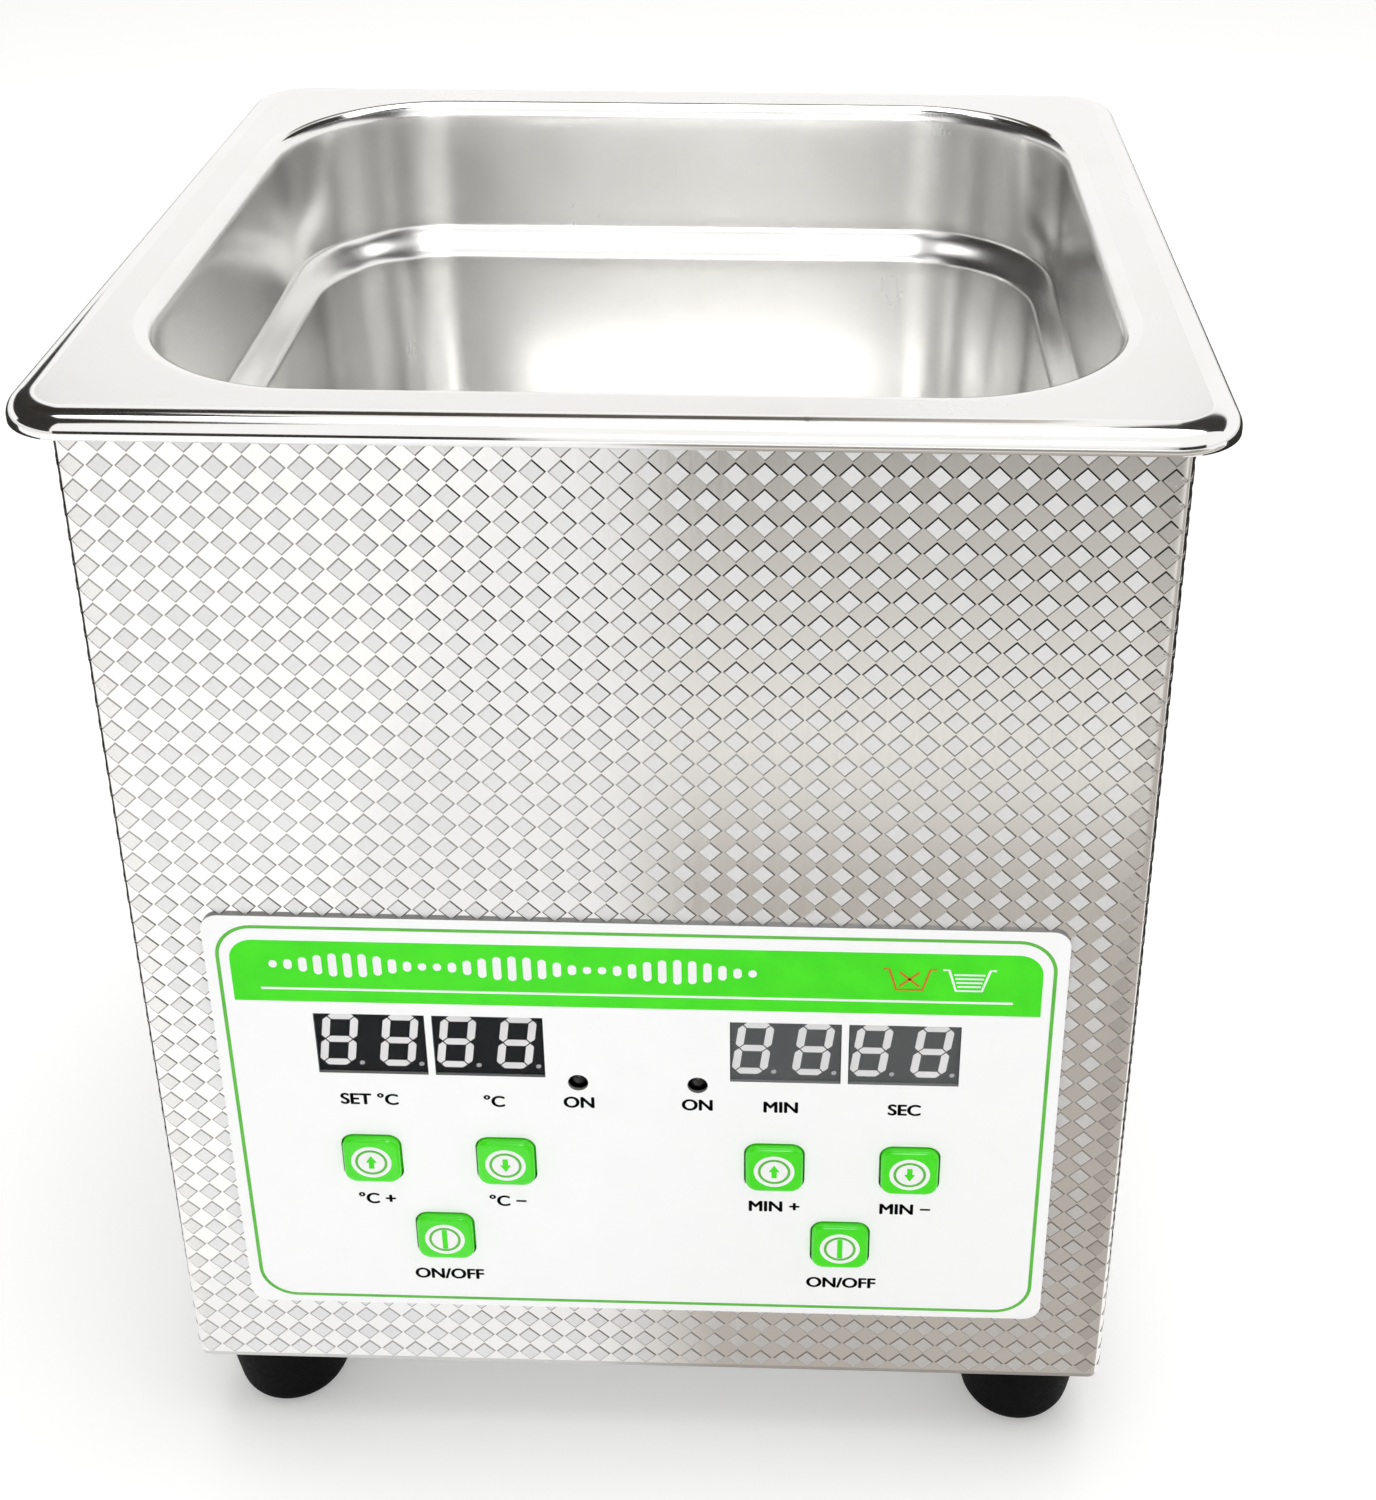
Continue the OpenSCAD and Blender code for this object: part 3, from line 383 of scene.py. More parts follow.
# Inks: light and dark colour
INKS = {
    "ink_green": GREEN,
    "ink_line": ((0.13, 0.55, 0.06), (0.09, 0.47, 0.04)),
    "ink_white": ((0.90, 0.91, 0.90), (0.87, 0.88, 0.87)),
    "ink_black": ((0.006, 0.006, 0.007), (0.003, 0.003, 0.004)),
    "ink_orange": ((0.62, 0.20, 0.01), (0.54, 0.15, 0.01)),
}

MATERIALS = {
    "tank_steel": tank_steel("tank_steel", (0.21, 0.27)),
    "tank_edge": tank_steel("tank_edge", (0.06, 0.10)),
    "casing_ground": casing_ground(),
    "casing_pad": casing_pad(),
    "panel_white": panel_white(),
    "lens_clear": clear_pane("lens_clear", 0.01),
    "lens_hazy": clear_pane("lens_hazy", 0.06),
    "board_green": circuit_board("board_green"),
}
for name, (light, dark, rough, other) in FINISHES.items():
    MATERIALS[name] = finish(name, light, dark, rough, **other)
for name, tones in INKS.items():
    MATERIALS[name] = print_ink(name, *tones)
SLOT_MATERIAL = {"patterned_steel": "casing_ground"}


def dress_nodes():
    """Every CAD node takes the material of its slot."""
    for part in frame["record"]["subparts"]:
        slot = part["material_slot"]
        node = nodes[part["node"]]
        node.data.materials.clear()
        node.data.materials.append(MATERIALS[SLOT_MATERIAL.get(slot, slot)])


# Tank

# Points round each corner and along each side of the tank's rings
CORNER_STEPS = 24
SIDE_STEPS = 24


def rim_ring(inset, z):
    """Outline of the rim, drawn in by inset."""
    half_x, half_y = rim_high.x - inset, rim_high.y - inset
    outline = rounded_rect(half_x, half_y, RIM_CORNER_R - inset, CORNER_STEPS, SIDE_STEPS)
    return [(p.x, p.y, z) for p in outline]


def crown_profile():
    """Section of the rim from its outer face up to the flat of the flange, as inset and drop."""
    low = CROWN_R * (1 - math.cos(math.radians(CROWN_TURN))) + EDGE_R * math.cos(math.radians(CROWN_TURN))
    reach = EDGE_R + (CROWN_R - EDGE_R) * math.sin(math.radians(CROWN_TURN))
    edge = arc_points(EDGE_R, -low, EDGE_R, 180, 90 + CROWN_TURN, 10)
    crown = arc_points(reach, -CROWN_R, CROWN_R, 90 + CROWN_TURN, 90, 6)
    return edge + crown[1:]


def wall_ring(out, z):
    """Outline of the tank opening, grown by out."""
    half_x, half_y = rim_high.x - FLANGE_W + out, rim_high.y - FLANGE_W + out
    outline = rounded_rect(half_x, half_y, OPENING_CORNER_R + out, CORNER_STEPS, SIDE_STEPS)
    return [(p.x, p.y, z) for p in outline]


# Places of the rings down the upper and lower walls, and steps down the shoulder
UPPER_SHARES = (0.1, 0.5, 0.9)
LOWER_SHARES = (0.05, 0.35, 0.65, 0.95)
SHOULDER_STEPS = 12


def wall_profile():
    """Inner face of the tank from the lip down to the floor, as growth past the opening and depth."""
    wall_in = UPPER_DRAFT + SHOULDER_STEP + WALL_DRAFT
    depth = rim_high.z - rim_low.z - SHEET
    profile = arc_points(LIP_R, -LIP_R, LIP_R, 90, 180, 8)
    for share in UPPER_SHARES:
        profile.append((-UPPER_DRAFT * share, -LIP_R - (SHOULDER_DEPTH - LIP_R) * share))
    for i in range(SHOULDER_STEPS + 1):
        share = i / SHOULDER_STEPS
        step = SHOULDER_STEP * (1 - math.cos(math.pi * share)) / 2
        profile.append((-UPPER_DRAFT - step, -SHOULDER_DEPTH - SHOULDER_DROP * share))
    low = -SHOULDER_DEPTH - SHOULDER_DROP
    bottom = FLOOR_R - depth
    for share in LOWER_SHARES:
        profile.append((-UPPER_DRAFT - SHOULDER_STEP - WALL_DRAFT * share, low + (bottom - low) * share))
    return profile + arc_points(-wall_in - FLOOR_R, bottom, FLOOR_R, 0, -90, 12)


# Small dents of the flange: place, radius and depth in millimetres
DENTS = [((-74, -76.5), 3.2, 0.05), ((-80, -62), 4.0, 0.05), ((-66, -77), 2.4, 0.04), ((-84, -48), 3.0, 0.03)]

# Rings across the flange and the floor, as shares of their width, and the first step in from the floor's edge
FLANGE_SHARES = (0.08, 0.5, 0.92)
FLOOR_SHARES = (0.7, 0.35, 0.06)
FLOOR_STEP = 1.0

# Rings of the lip that the drawing die burnished, and rings that the underside leaves out
LIP_BURNISHED = 4
LIP_SKIPPED = 4

# Depth below the rim from which the underside lies a sheet lower
FLOOR_BAND = 80


def dented(point):
    """A point of the flange, lowered where it has a dent."""
    x, y, z = point
    for (cx, cy), r, depth in DENTS:
        z -= depth * math.exp(-((x - cx) ** 2 + (y - cy) ** 2) / (r * r))
    return x, y, z


def flange_rings(edge, lip):
    """Rings across the flat of the flange, between its edge and the lip."""
    rings = []
    for share in FLANGE_SHARES:
        rings.append([dented(Vector(a).lerp(Vector(b), share)) for a, b in zip(edge, lip)])
    return rings


def scaled_ring(ring, scale, z):
    """A ring drawn in towards the middle of the floor."""
    return [(x * scale, y * scale, z) for x, y, _ in ring]


def underside(profile, floor_edge, top):
    """Rings of the sheet's other face, from the middle of the floor out and up to the rim."""
    floor_z = top + profile[-1][1] - SHEET
    rings = [scaled_ring(floor_edge, scale, floor_z) for scale in (FLOOR_SHARES[-1], 1.0)]
    for out, z in reversed(profile[LIP_SKIPPED:]):
        drop = SHEET if z < -FLOOR_BAND else 0.0
        rings.append(wall_ring(out + SHEET, top + z - drop))
    rings.append(wall_ring(LIP_R + SHEET, top - SHEET))
    rings.append(rim_ring(ROLL_R, top - SHEET))
    rings.append(rim_ring(SHEET, top - ROLL_R))
    return rings


def shell_faces(count, n, bridge):
    """Faces of a closed skin over count rings of n points; two caps stand in for the band after bridge."""
    total = count * n
    faces = []
    for i in range(count):
        if i == bridge:
            continue
        for k in range(n):
            a, b = i * n + k, i * n + (k + 1) % n
            faces.append((a, b, (b + n) % total, (a + n) % total))
    first = bridge * n
    faces.append(tuple(range(first, first + n)))
    faces.append(tuple(range(first + 2 * n - 1, first + n - 1, -1)))
    return faces


def tank():
    """One drawn sheet: rolled rim, flat flange, lip, shouldered walls and floor."""
    top = rim_high.z
    crown = crown_profile()
    profile = wall_profile()
    floor_out, floor_drop = profile[-1]
    rings = [rim_ring(SHEET, top - SKIRT_H), rim_ring(0.0, top - SKIRT_H)]
    rings += [rim_ring(inset, top + z) for inset, z in crown]
    rings += flange_rings(rim_ring(crown[-1][0], top), wall_ring(LIP_R, top))
    rings += [wall_ring(out, top + z) for out, z in profile]
    rings.append(wall_ring(floor_out - FLOOR_STEP, top + floor_drop))
    floor_edge = rings[-1]
    rings += [scaled_ring(floor_edge, scale, top + floor_drop) for scale in FLOOR_SHARES]
    bridge = len(rings) - 1
    rings += underside(profile, floor_edge, top)
    n = len(rings[0])
    faces = shell_faces(len(rings), n, bridge)
    lip_first = 2 + len(crown) + len(FLANGE_SHARES)
    burnished = [*range(1, 1 + len(crown)), *range(lip_first, lip_first + LIP_BURNISHED)]
    kinds = [int(min(f) // n in burnished) for f in faces]
    skins = [MATERIALS["tank_steel"], MATERIALS["tank_edge"]]
    verts = [p for ring in rings for p in ring]
    obj = mesh_object("tank_shell", verts, faces, skins, face_materials=kinds)
    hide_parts("tank")


# Casing pattern: raised diamonds on a square lattice, in millimetres
PAD_PITCH = 4.15
PAD_PHASE = (-70.67, 127.9)
PAD_HALF = 2.02
PAD_EDGE = 0.24
PAD_H = 0.09
PAD_TOP = 205.7
PAD_BOTTOM = 18.1
PAD_END_GAP = 0.3

# A pad on a bend has more points along its sides, and rings inside its top at these insets
BEND_STEPS = 5
BEND_INSETS = (0.374, 0.737)

# Material of each kind of face of a pad; the sides take pad_edge, a darker steel that is painted shade and
# painted dark reflection
PAD_SKINS = ("casing_pad", "pad_edge", "pad_bend")
PAD_FACE, PAD_SIDE, PAD_BENT = range(3)


def wrap_place(s, z, lift):
    """Point on the casing at distance s round it from the middle of the front, lifted off its face."""
    side = 1 if s >= 0 else -1
    s = abs(s)
    flat = wrap_high.x - BEND_R
    bend = BEND_R * math.pi / 2
    front_y = wrap_low.y + BEND_R
    run = wrap_high.y - wrap_low.y - 2 * BEND_R
    if s <= flat:
        return side * s, wrap_low.y - lift, z
    s -= flat
    if s <= bend:
        a = s / BEND_R
        return side * (flat + (BEND_R + lift) * math.sin(a)), front_y - (BEND_R + lift) * math.cos(a), z
    s -= bend
    if s <= run:
        return side * (wrap_high.x + lift), front_y + s, z
    a = min((s - run) / BEND_R, math.pi / 2)
    reach = BEND_R + lift
    return side * (flat + reach * math.cos(a)), front_y + run + reach * math.sin(a), z


def rear_place(s, z, lift):
    """Point on the rear panel, with s running the other way to X."""
    return -s, rear_high.y + lift, z


def clipped(outline, axis, limit, keep_below):
    """A convex outline cut by a straight line."""
    out = []
    inside = [(p[axis] <= limit) == keep_below for p in outline]
    for i, p in enumerate(outline):
        q = outline[(i + 1) % len(outline)]
        here, there = inside[i], inside[(i + 1) % len(outline)]
        if here:
            out.append(p)
        if here != there:
            t = (limit - p[axis]) / (q[axis] - p[axis])
            out.append((p[0] + t * (q[0] - p[0]), p[1] + t * (q[1] - p[1])))
    return out


def shrunk(outline, amount):
    """A convex outline drawn in about its middle so that a diamond's sides move by amount."""
    cx = sum(p[0] for p in outline) / len(outline)
    cy = sum(p[1] for p in outline) / len(outline)
    k = 1 - amount * math.sqrt(2) / PAD_HALF
    return [(cx + (p[0] - cx) * k, cy + (p[1] - cy) * k) for p in outline]


def finer(outline, steps):
    """Each side of an outline split into steps, so that it can follow a bend."""
    out = []
    for i, p in enumerate(outline):
        q = outline[(i + 1) % len(outline)]
        out += [(p[0] + (q[0] - p[0]) * k / steps, p[1] + (q[1] - p[1]) * k / steps) for k in range(steps)]
    return out


def pad_centres(s_low, s_high):
    """Lattice points whose diamonds may reach into a stretch of casing."""
    first = math.floor((s_low - PAD_PHASE[0]) / PAD_PITCH)
    last = math.ceil((s_high - PAD_PHASE[0]) / PAD_PITCH)
    lowest = math.floor((PAD_BOTTOM - PAD_PHASE[1]) / PAD_PITCH)
    highest = math.ceil((PAD_TOP - PAD_PHASE[1]) / PAD_PITCH)
    for i in range(first, last + 1):
        for j in range(lowest, highest + 1):
            yield PAD_PHASE[0] + i * PAD_PITCH, PAD_PHASE[1] + j * PAD_PITCH


def pad_outline(s, z, s_low, s_high):
    """One diamond, cut at the ends of its stretch of casing."""
    outline = [(s + PAD_HALF, z), (s, z + PAD_HALF), (s - PAD_HALF, z), (s, z - PAD_HALF)]
    limits = ((0, s_low, False), (0, s_high, True), (1, PAD_BOTTOM, False), (1, PAD_TOP, True))
    for axis, limit, below in limits:
        outline = clipped(outline, axis, limit, below)
    return outline


def band_faces(lower, upper):
    """Faces between two rings of vertex numbers."""
    n = len(lower)
    return [(lower[k], lower[(k + 1) % n], upper[(k + 1) % n], upper[k]) for k in range(n)]


def pads(name, place, s_low, s_high, hidden, curved):
    """Raised diamonds on a stretch of casing; hidden leaves some out, and curved asks for more points."""
    verts, faces, kinds = [], [], []

    def add_ring(outline, steps, lift):
        start = len(verts)
        verts.extend(place(*p, lift) for p in finer(outline, steps))
        return list(range(start, len(verts)))

    def add_faces(new, kind):
        faces.extend(new)
        kinds.extend([kind] * len(new))

    for s, z in pad_centres(s_low, s_high):
        outline = pad_outline(s, z, s_low, s_high)
        if hidden(s, z) or len(outline) < 3:
            continue
        bent = curved(s)
        steps = BEND_STEPS if bent else 1
        foot = add_ring(outline, steps, 0.0)
        top = add_ring(shrunk(outline, PAD_EDGE), steps, PAD_H)
        add_faces(band_faces(foot, top), PAD_SIDE)
        for inset in BEND_INSETS if bent else ():
            inner = add_ring(shrunk(outline, PAD_EDGE + inset), steps, PAD_H)
            add_faces(band_faces(top, inner), PAD_BENT)
            top = inner
        add_faces([tuple(top)], PAD_BENT if bent else PAD_FACE)
    skins = [MATERIALS[skin] for skin in PAD_SKINS]
    mesh_object(name, verts, faces, skins, smooth=False, face_materials=kinds)


def under_panel(s, z):
    """Whether a pad lies wholly behind the overlay."""
    across = abs(s) + PAD_HALF < panel_high.x
    return across and panel_low.z + PAD_HALF < z < panel_high.z - PAD_HALF


# Fittings of the rear panel, in millimetres
INLET_ROOM = 0.4
REAR_HEAD_R = 2.9
VENT_COUNT = 6
VENT_FIRST = 26
VENT_PITCH = 8
VENT_X = 40
VENT_HALF_W = 23
VENT_HALF_H = 1.5
VENT_REACH = 0.8


def near_inlet(x, z):
    """Whether a pad would meet the inlet."""
    room = INLET_ROOM + PAD_HALF
    across = inlet_low.x - room < x < inlet_high.x + room
    return across and inlet_low.z - room < z < inlet_high.z + room


def near_rear_screw(x, z):
    """Whether a pad would meet one of the six screw heads."""
    across = abs(x) - (screws_high.x - REAR_HEAD_R)
    heights = (screws_low.z + REAR_HEAD_R, (screws_low.z + screws_high.z) / 2, screws_high.z - REAR_HEAD_R)
    return any(math.hypot(across, z - at) < REAR_HEAD_R + PAD_HALF for at in heights)


def near_vent(x, z):
    """Whether a pad reaches a slot with more than the tip of its diamond."""
    across = abs(x - VENT_X) < VENT_HALF_W + PAD_HALF
    heights = [wrap_low.z + VENT_FIRST + VENT_PITCH * i for i in range(VENT_COUNT)]
    return across and any(abs(z - at) < VENT_HALF_H + PAD_HALF * VENT_REACH for at in heights)


def near_rear_fitting(s, z):
    """Whether a pad would meet the inlet, a screw or a vent slot of the rear panel."""
    return near_inlet(-s, z) or near_rear_screw(-s, z) or near_vent(-s, z)


def casing_pattern():
    """Diamonds round the casing and on the rear panel."""
    flat = wrap_high.x - BEND_R
    bend = BEND_R * math.pi / 2
    run = wrap_high.y - wrap_low.y - 2 * BEND_R
    reach = flat + 2 * bend + run - PAD_END_GAP

    def on_bend(s):
        s = abs(s)
        near_front = flat - PAD_HALF < s < flat + bend + PAD_HALF
        return near_front or s > flat + bend + run - PAD_HALF

    def never(s):
        return False

    pads("casing_diamonds", wrap_place, -reach, reach, under_panel, on_bend)
    low, high = rear_low.x + PAD_END_GAP, rear_high.x - PAD_END_GAP
    pads("rear_diamonds", rear_place, low, high, near_rear_fitting, never)


# Flat prints and plates on the panel

def flat_mesh(name, loops, thickness):
    """A plate from filled outlines in X and Z, growing to -Y from the XZ plane; inner loops are holes."""
    curve = bpy.data.curves.new(name, "CURVE")
    curve.dimensions = "2D"
    curve.fill_mode = "BOTH"
    curve.extrude = thickness / 2
    for loop in loops:
        spline = curve.splines.new("POLY")
        spline.points.add(len(loop) - 1)
        spline.points.foreach_set("co", [c for p in loop for c in (p[0], p[1], 0, 1)])
        spline.use_cyclic_u = True
    return plate_from_curve(curve, thickness)


def plate_from_curve(curve, thickness):
    """The mesh of a filled curve, turned to stand in the XZ plane."""
    holder = bpy.data.objects.new(curve.name, curve)
    bpy.context.scene.collection.objects.link(holder)
    bpy.context.view_layer.update()
    mesh = bpy.data.meshes.new_from_object(holder.evaluated_get(bpy.context.evaluated_depsgraph_get()))
    bpy.data.objects.remove(holder)
    bpy.data.curves.remove(curve)
    mesh.transform(Matrix.Translation((0, -thickness / 2, 0)) @ Matrix.Rotation(math.pi / 2, 4, "X"))
    return mesh


def plate(name, loops, material, y, x=0.0, z=0.0, thickness=PRINT_T, body=BODY):
    """A print or plate in front of the plane at y."""
    place_mesh(name, flat_mesh(name, loops, thickness), material, (x, y, z), body)


def place_mesh(name, mesh, material, at, body):
    """A piece from a mesh in millimetres, moved to its place."""
    mesh.transform(Matrix.Scale(MM, 4) @ Matrix.Translation(at))
    mesh.materials.clear()
    mesh.materials.append(MATERIALS[material])
    obj = bpy.data.objects.new(name, mesh)
    bpy.context.scene.collection.objects.link(obj)
    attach(obj, body)


# Letters in millimetres: height of a capital, its share of the font's size, and how far strokes are thickened
LABEL_H = 2.3
CAPITAL_SHARE = 0.69
LABEL_WEIGHT = 0.12


def label(name, words, x, z):
    """Generic letters and signs, centred on x and z."""
    curve = bpy.data.curves.new(name, "FONT")
    curve.body = words
    curve.size = LABEL_H / CAPITAL_SHARE
    curve.align_x = "CENTER"
    curve.extrude = PRINT_T / 2
    mesh = heavier(plate_from_curve(curve, PRINT_T), LABEL_WEIGHT)
    place_mesh(name, mesh, "ink_black", (x, panel_front, panel_z + z - LABEL_H / 2), BODY)


def heavier(mesh, weight):
    """Letters drawn five times with a small shift, to thicken their strokes."""
    drawn = bmesh.new()
    for across, up in ((0, 0), (-weight, 0), (weight, 0), (0, -weight / 2), (0, weight / 2)):
        copy = mesh.copy()
        copy.transform(Matrix.Translation((across, 0, up)))
        drawn.from_mesh(copy)
        bpy.data.meshes.remove(copy)
    drawn.to_mesh(mesh)
    drawn.free()
    return mesh


def rect_loop(x0, z0, x1, z1):
    return [(x0, z0), (x1, z0), (x1, z1), (x0, z1)]


def round_loop(half_x, half_z, r, cx=0.0, cz=0.0):
    return [(p.x + cx, p.y + cz) for p in rounded_rect(half_x, half_z, r, 10)]


def circle_loop(r, cx=0.0, cz=0.0, steps=48):
    return arc_points(cx, cz, r, 0, 360 - 360 / steps, steps - 1)


def stroke(points, width):
    """Outline of a line of some width through the points."""
    left, right = [], []
    for i, p in enumerate(points):
        a, b = Vector(points[max(i - 1, 0)]), Vector(points[min(i + 1, len(points) - 1)])
        d = (b - a).normalized()
        n = Vector((-d.y, d.x)) * width / 2
        left.append(tuple(Vector(p) + n))
        right.append(tuple(Vector(p) - n))
    return left + right[::-1]


# Print of the panel in millimetres, from the panel's middle
FRAME_HALF_W, FRAME_HALF_H = 67.9, 41.35
FRAME_R = 6.4
FRAME_LINE = 0.6
FRAME_Z = -0.2
BAND_HALF_W = 65.7
BAND_LOW, BAND_HIGH = 25.7, 38.2
BAND_R = 4.0
RULE_HALF_W = 61.1
RULE_LOW, RULE_HIGH = 28.15, 28.6


def panel_frame():
    """Green line round the panel, and the green header band with its white rule."""
    sides = []
    for inset in (0.0, FRAME_LINE):
        sides.append(round_loop(FRAME_HALF_W - inset, FRAME_HALF_H - inset, FRAME_R - inset, 0, FRAME_Z))
    plate("frame_line", sides, "ink_line", panel_front, z=panel_z)
    band = [(-BAND_HALF_W, BAND_LOW), (BAND_HALF_W, BAND_LOW)]
    band += arc_points(BAND_HALF_W - BAND_R, BAND_HIGH - BAND_R, BAND_R, 0, 90, 8)
    band += arc_points(BAND_R - BAND_HALF_W, BAND_HIGH - BAND_R, BAND_R, 90, 180, 8)
    plate("header_band", [band], "ink_green", panel_front, z=panel_z)
    rule = rect_loop(-RULE_HALF_W, RULE_LOW, RULE_HALF_W, RULE_HIGH)
    plate("header_rule", [rule], "ink_white", panel_front - PRINT_T, z=panel_z)


# Row of bars on the header: three bursts
WAVE_BARS = 33
WAVE_BURST = 11
WAVE_START = -58.7
WAVE_PITCH = 2.43
WAVE_W = 1.35
WAVE_Z = 33.4
WAVE_LOW = 0.7
WAVE_SWELL = 1.8


def header_wave():
    """A plain row of bars in the form of a sound burst, on the header."""
    loops = []
    for i in range(WAVE_BARS):
        swell = math.sin(math.pi * (i + 0.5) / WAVE_BURST) ** 2
        half = WAVE_LOW + WAVE_SWELL * swell
        loops.append(round_loop(WAVE_W / 2, half, WAVE_W / 2 - 0.01, WAVE_START + WAVE_PITCH * i, WAVE_Z))
    plate("header_bars", loops, "ink_white", panel_front - PRINT_T, z=panel_z)


# Tank signs on the header: the tank's half widths and heights, and its cross and level lines
SIGN_HALF, SIGN_FOOT, SIGN_RIM = 3.3, 2.1, 1.0
SIGN_LOW, SIGN_HIGH = 30.8, 35.0
SIGN_LINE = 0.4
CROSS_HALF = 1.6
CROSS_LOW, CROSS_HIGH = SIGN_LOW + 0.7, SIGN_HIGH - 0.6
LEVEL_FIRST, LEVEL_PITCH = 0.85, 0.8
LEVEL_HALF, LEVEL_GROWTH, LEVEL_T = 1.9, 0.2, 0.32


def tank_sign(name, x, material, levels, crossed):
    """A tank outline with level lines or a cross, the usual sign for how far to fill it."""
    rim = SIGN_HALF + SIGN_RIM
    wall = [(-rim, SIGN_HIGH), (-SIGN_HALF, SIGN_HIGH), (-SIGN_FOOT, SIGN_LOW)]
    wall += [(-across, z) for across, z in reversed(wall)]
    loops = [stroke([(x + across, z) for across, z in wall], SIGN_LINE)]
    if crossed:
        for low, high in ((CROSS_LOW, CROSS_HIGH), (CROSS_HIGH, CROSS_LOW)):
            loops.append(stroke([(x - CROSS_HALF, low), (x + CROSS_HALF, high)], SIGN_LINE))
    for i in range(levels):
        z = SIGN_LOW + LEVEL_FIRST + LEVEL_PITCH * i
        half = LEVEL_HALF + LEVEL_GROWTH * i
        loops.append(rect_loop(x - half, z - LEVEL_T / 2, x + half, z + LEVEL_T / 2))
    for i, loop in enumerate(loops):
        plate(f"{name}_{i}", [loop], material, panel_front - PRINT_T, z=panel_z)


# Labels: name, words, and place from the panel's middle in millimetres
LABELS = [
    ("set_unit", "SET °C", -45.2, 4.9), ("now_unit", "°C", -24.2, 5.0),
    ("lamp_left", "ON", -9.9, 5.2), ("lamp_right", "ON", 9.9, 5.2),
    ("minute_unit", "MIN", 23.8, 5.1), ("second_unit", "SEC", 44.4, 5.1),
    ("warmer", "°C +", -45.6, -17.7), ("cooler", "°C −", -23.0, -17.6),
    ("longer", "MIN +", 22.8, -17.4), ("shorter", "MIN −", 45.2, -17.4),
    ("heat_switch", "ON/OFF", -34.2, -35.3), ("timer_switch", "ON/OFF", 34.6, -35.2),
]


def panel_print():
    panel_frame()
    header_wave()
    tank_sign("sign_empty", 44.3, "ink_orange", 0, True)
    tank_sign("sign_full", 53.9, "ink_white", 4, False)
    for name, words, x, z in LABELS:
        label("label_" + name, words, x, z)


# Displays, in millimetres

WINDOW_W = 18.3
PANE_GAP = 0.2
PANE_BACK = 0.04
PANE_CORNER_R = 0.25
PANE_EASE = ((0.0, 0.08), (0.03, 0.02), (0.09, 0.0))
DIGIT_W = 5.9
DIGIT_H = 11.1
DIGIT_PITCH = 9.95
SEGMENT_T = 1.3
SEGMENT_GAP = 0.16
DIGIT_SLANT = 0.13
DIGIT_RAISE = 0.45
DIGIT_SHIFT = -0.4
POINT_R = 0.43
POINT_OUT = 1.8
POINT_DROP = 0.1
SEGMENT_H = 0.02


def segment(x0, z0, x1, z1):
    """A bar with pointed ends between two corners of a digit."""
    a, b = Vector((x0, z0)), Vector((x1, z1))
    d = (b - a).normalized()
    n = Vector((-d.y, d.x))
    t = SEGMENT_T / 2
    a, b = a + d * SEGMENT_GAP, b - d * SEGMENT_GAP
    points = [a, a + d * t + n * t, b - d * t + n * t, b, b - d * t - n * t, a + d * t - n * t]
    return [tuple(p) for p in points]


def leaning(loops, cx, cz):
    """Outlines of one digit, leaned to the right and put in place."""
    return [[(cx + x + DIGIT_SLANT * z, cz + z) for x, z in loop] for loop in loops]


def digit_loops(cx, cz):
    """The seven bars of one digit, and its point."""
    w, h = (DIGIT_W - SEGMENT_T) / 2, (DIGIT_H - SEGMENT_T) / 2
    bars = [(-w, h, w, h), (-w, 0, w, 0), (-w, -h, w, -h),
            (-w, 0, -w, h), (w, 0, w, h), (-w, -h, -w, 0), (w, -h, w, 0)]
    point = circle_loop(POINT_R, w + POINT_OUT, -h - POINT_DROP, 20)
    return leaning([segment(*bar) for bar in bars], cx, cz), leaning([point], cx, cz)


def displays():
    """Bars and points on the four modules, and the panes before them."""
    for node in ("display_set_temp", "display_temp", "display_minutes", "display_seconds"):
        low, high = box_mm(node)
        cx, cz = (low.x + high.x) / 2, (low.z + high.z) / 2
        bars, points = [], []
        for side in (-1, 1):
            digit, point = digit_loops(side * DIGIT_PITCH / 2 + DIGIT_SHIFT, DIGIT_RAISE)
            bars += digit
            points += point
        plate(node + "_digits", bars, "segment", low.y, cx, cz, SEGMENT_H)
        plate(node + "_points", points, "segment_dim", low.y, cx, cz, SEGMENT_H)
    for node in ("display_lens_left", "display_lens_right"):
        panes(node)


def panes(node):
    """The two clear panes of one lens node, with eased front edges."""
    low, high = box_mm(node)
    half_x, half_z = (WINDOW_W - PANE_GAP) / 2, (high.z - low.z) / 2
    cz = (low.z + high.z) / 2
    sections = [(0.0, high.y - PANE_BACK)] + [(inset, low.y + back) for inset, back in PANE_EASE]
    for i, x in enumerate((low.x + half_x, high.x - half_x)):
        rings = []
        for inset, y in sections:
            loop = rounded_rect(half_x - inset, half_z - inset, PANE_CORNER_R, 4)
            rings.append([(x + p.x, y, cz + p.y) for p in loop])
        verts, faces = loft(rings)
        skin = MATERIALS["lens_clear" if x < 0 else "lens_hazy"]
        obj = mesh_object(f"{node}_pane_{i}", verts, faces, [skin], smooth=False)
        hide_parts(node)


# Keys, in millimetres

KEY_SIDE = 9.7
KEY_FLANGE_T = 0.8
KEY_EASE = 0.02
KEY_TOP_REACHES = (3.9, 2.0, 0.4)
KEY_CORNER_R = 2.0
KEY_ROUND = 0.75
ICON_R = 3.45
ICON_RING = (2.75, 2.3)
BAR_HALF_W, BAR_HALF_H, BAR_R = 0.45, 2.2, 0.2
ARROW_TIP, ARROW_NECK, ARROW_TAIL = 1.45, -0.05, -1.4
ARROW_HEAD, ARROW_SHAFT = 0.93, 0.45


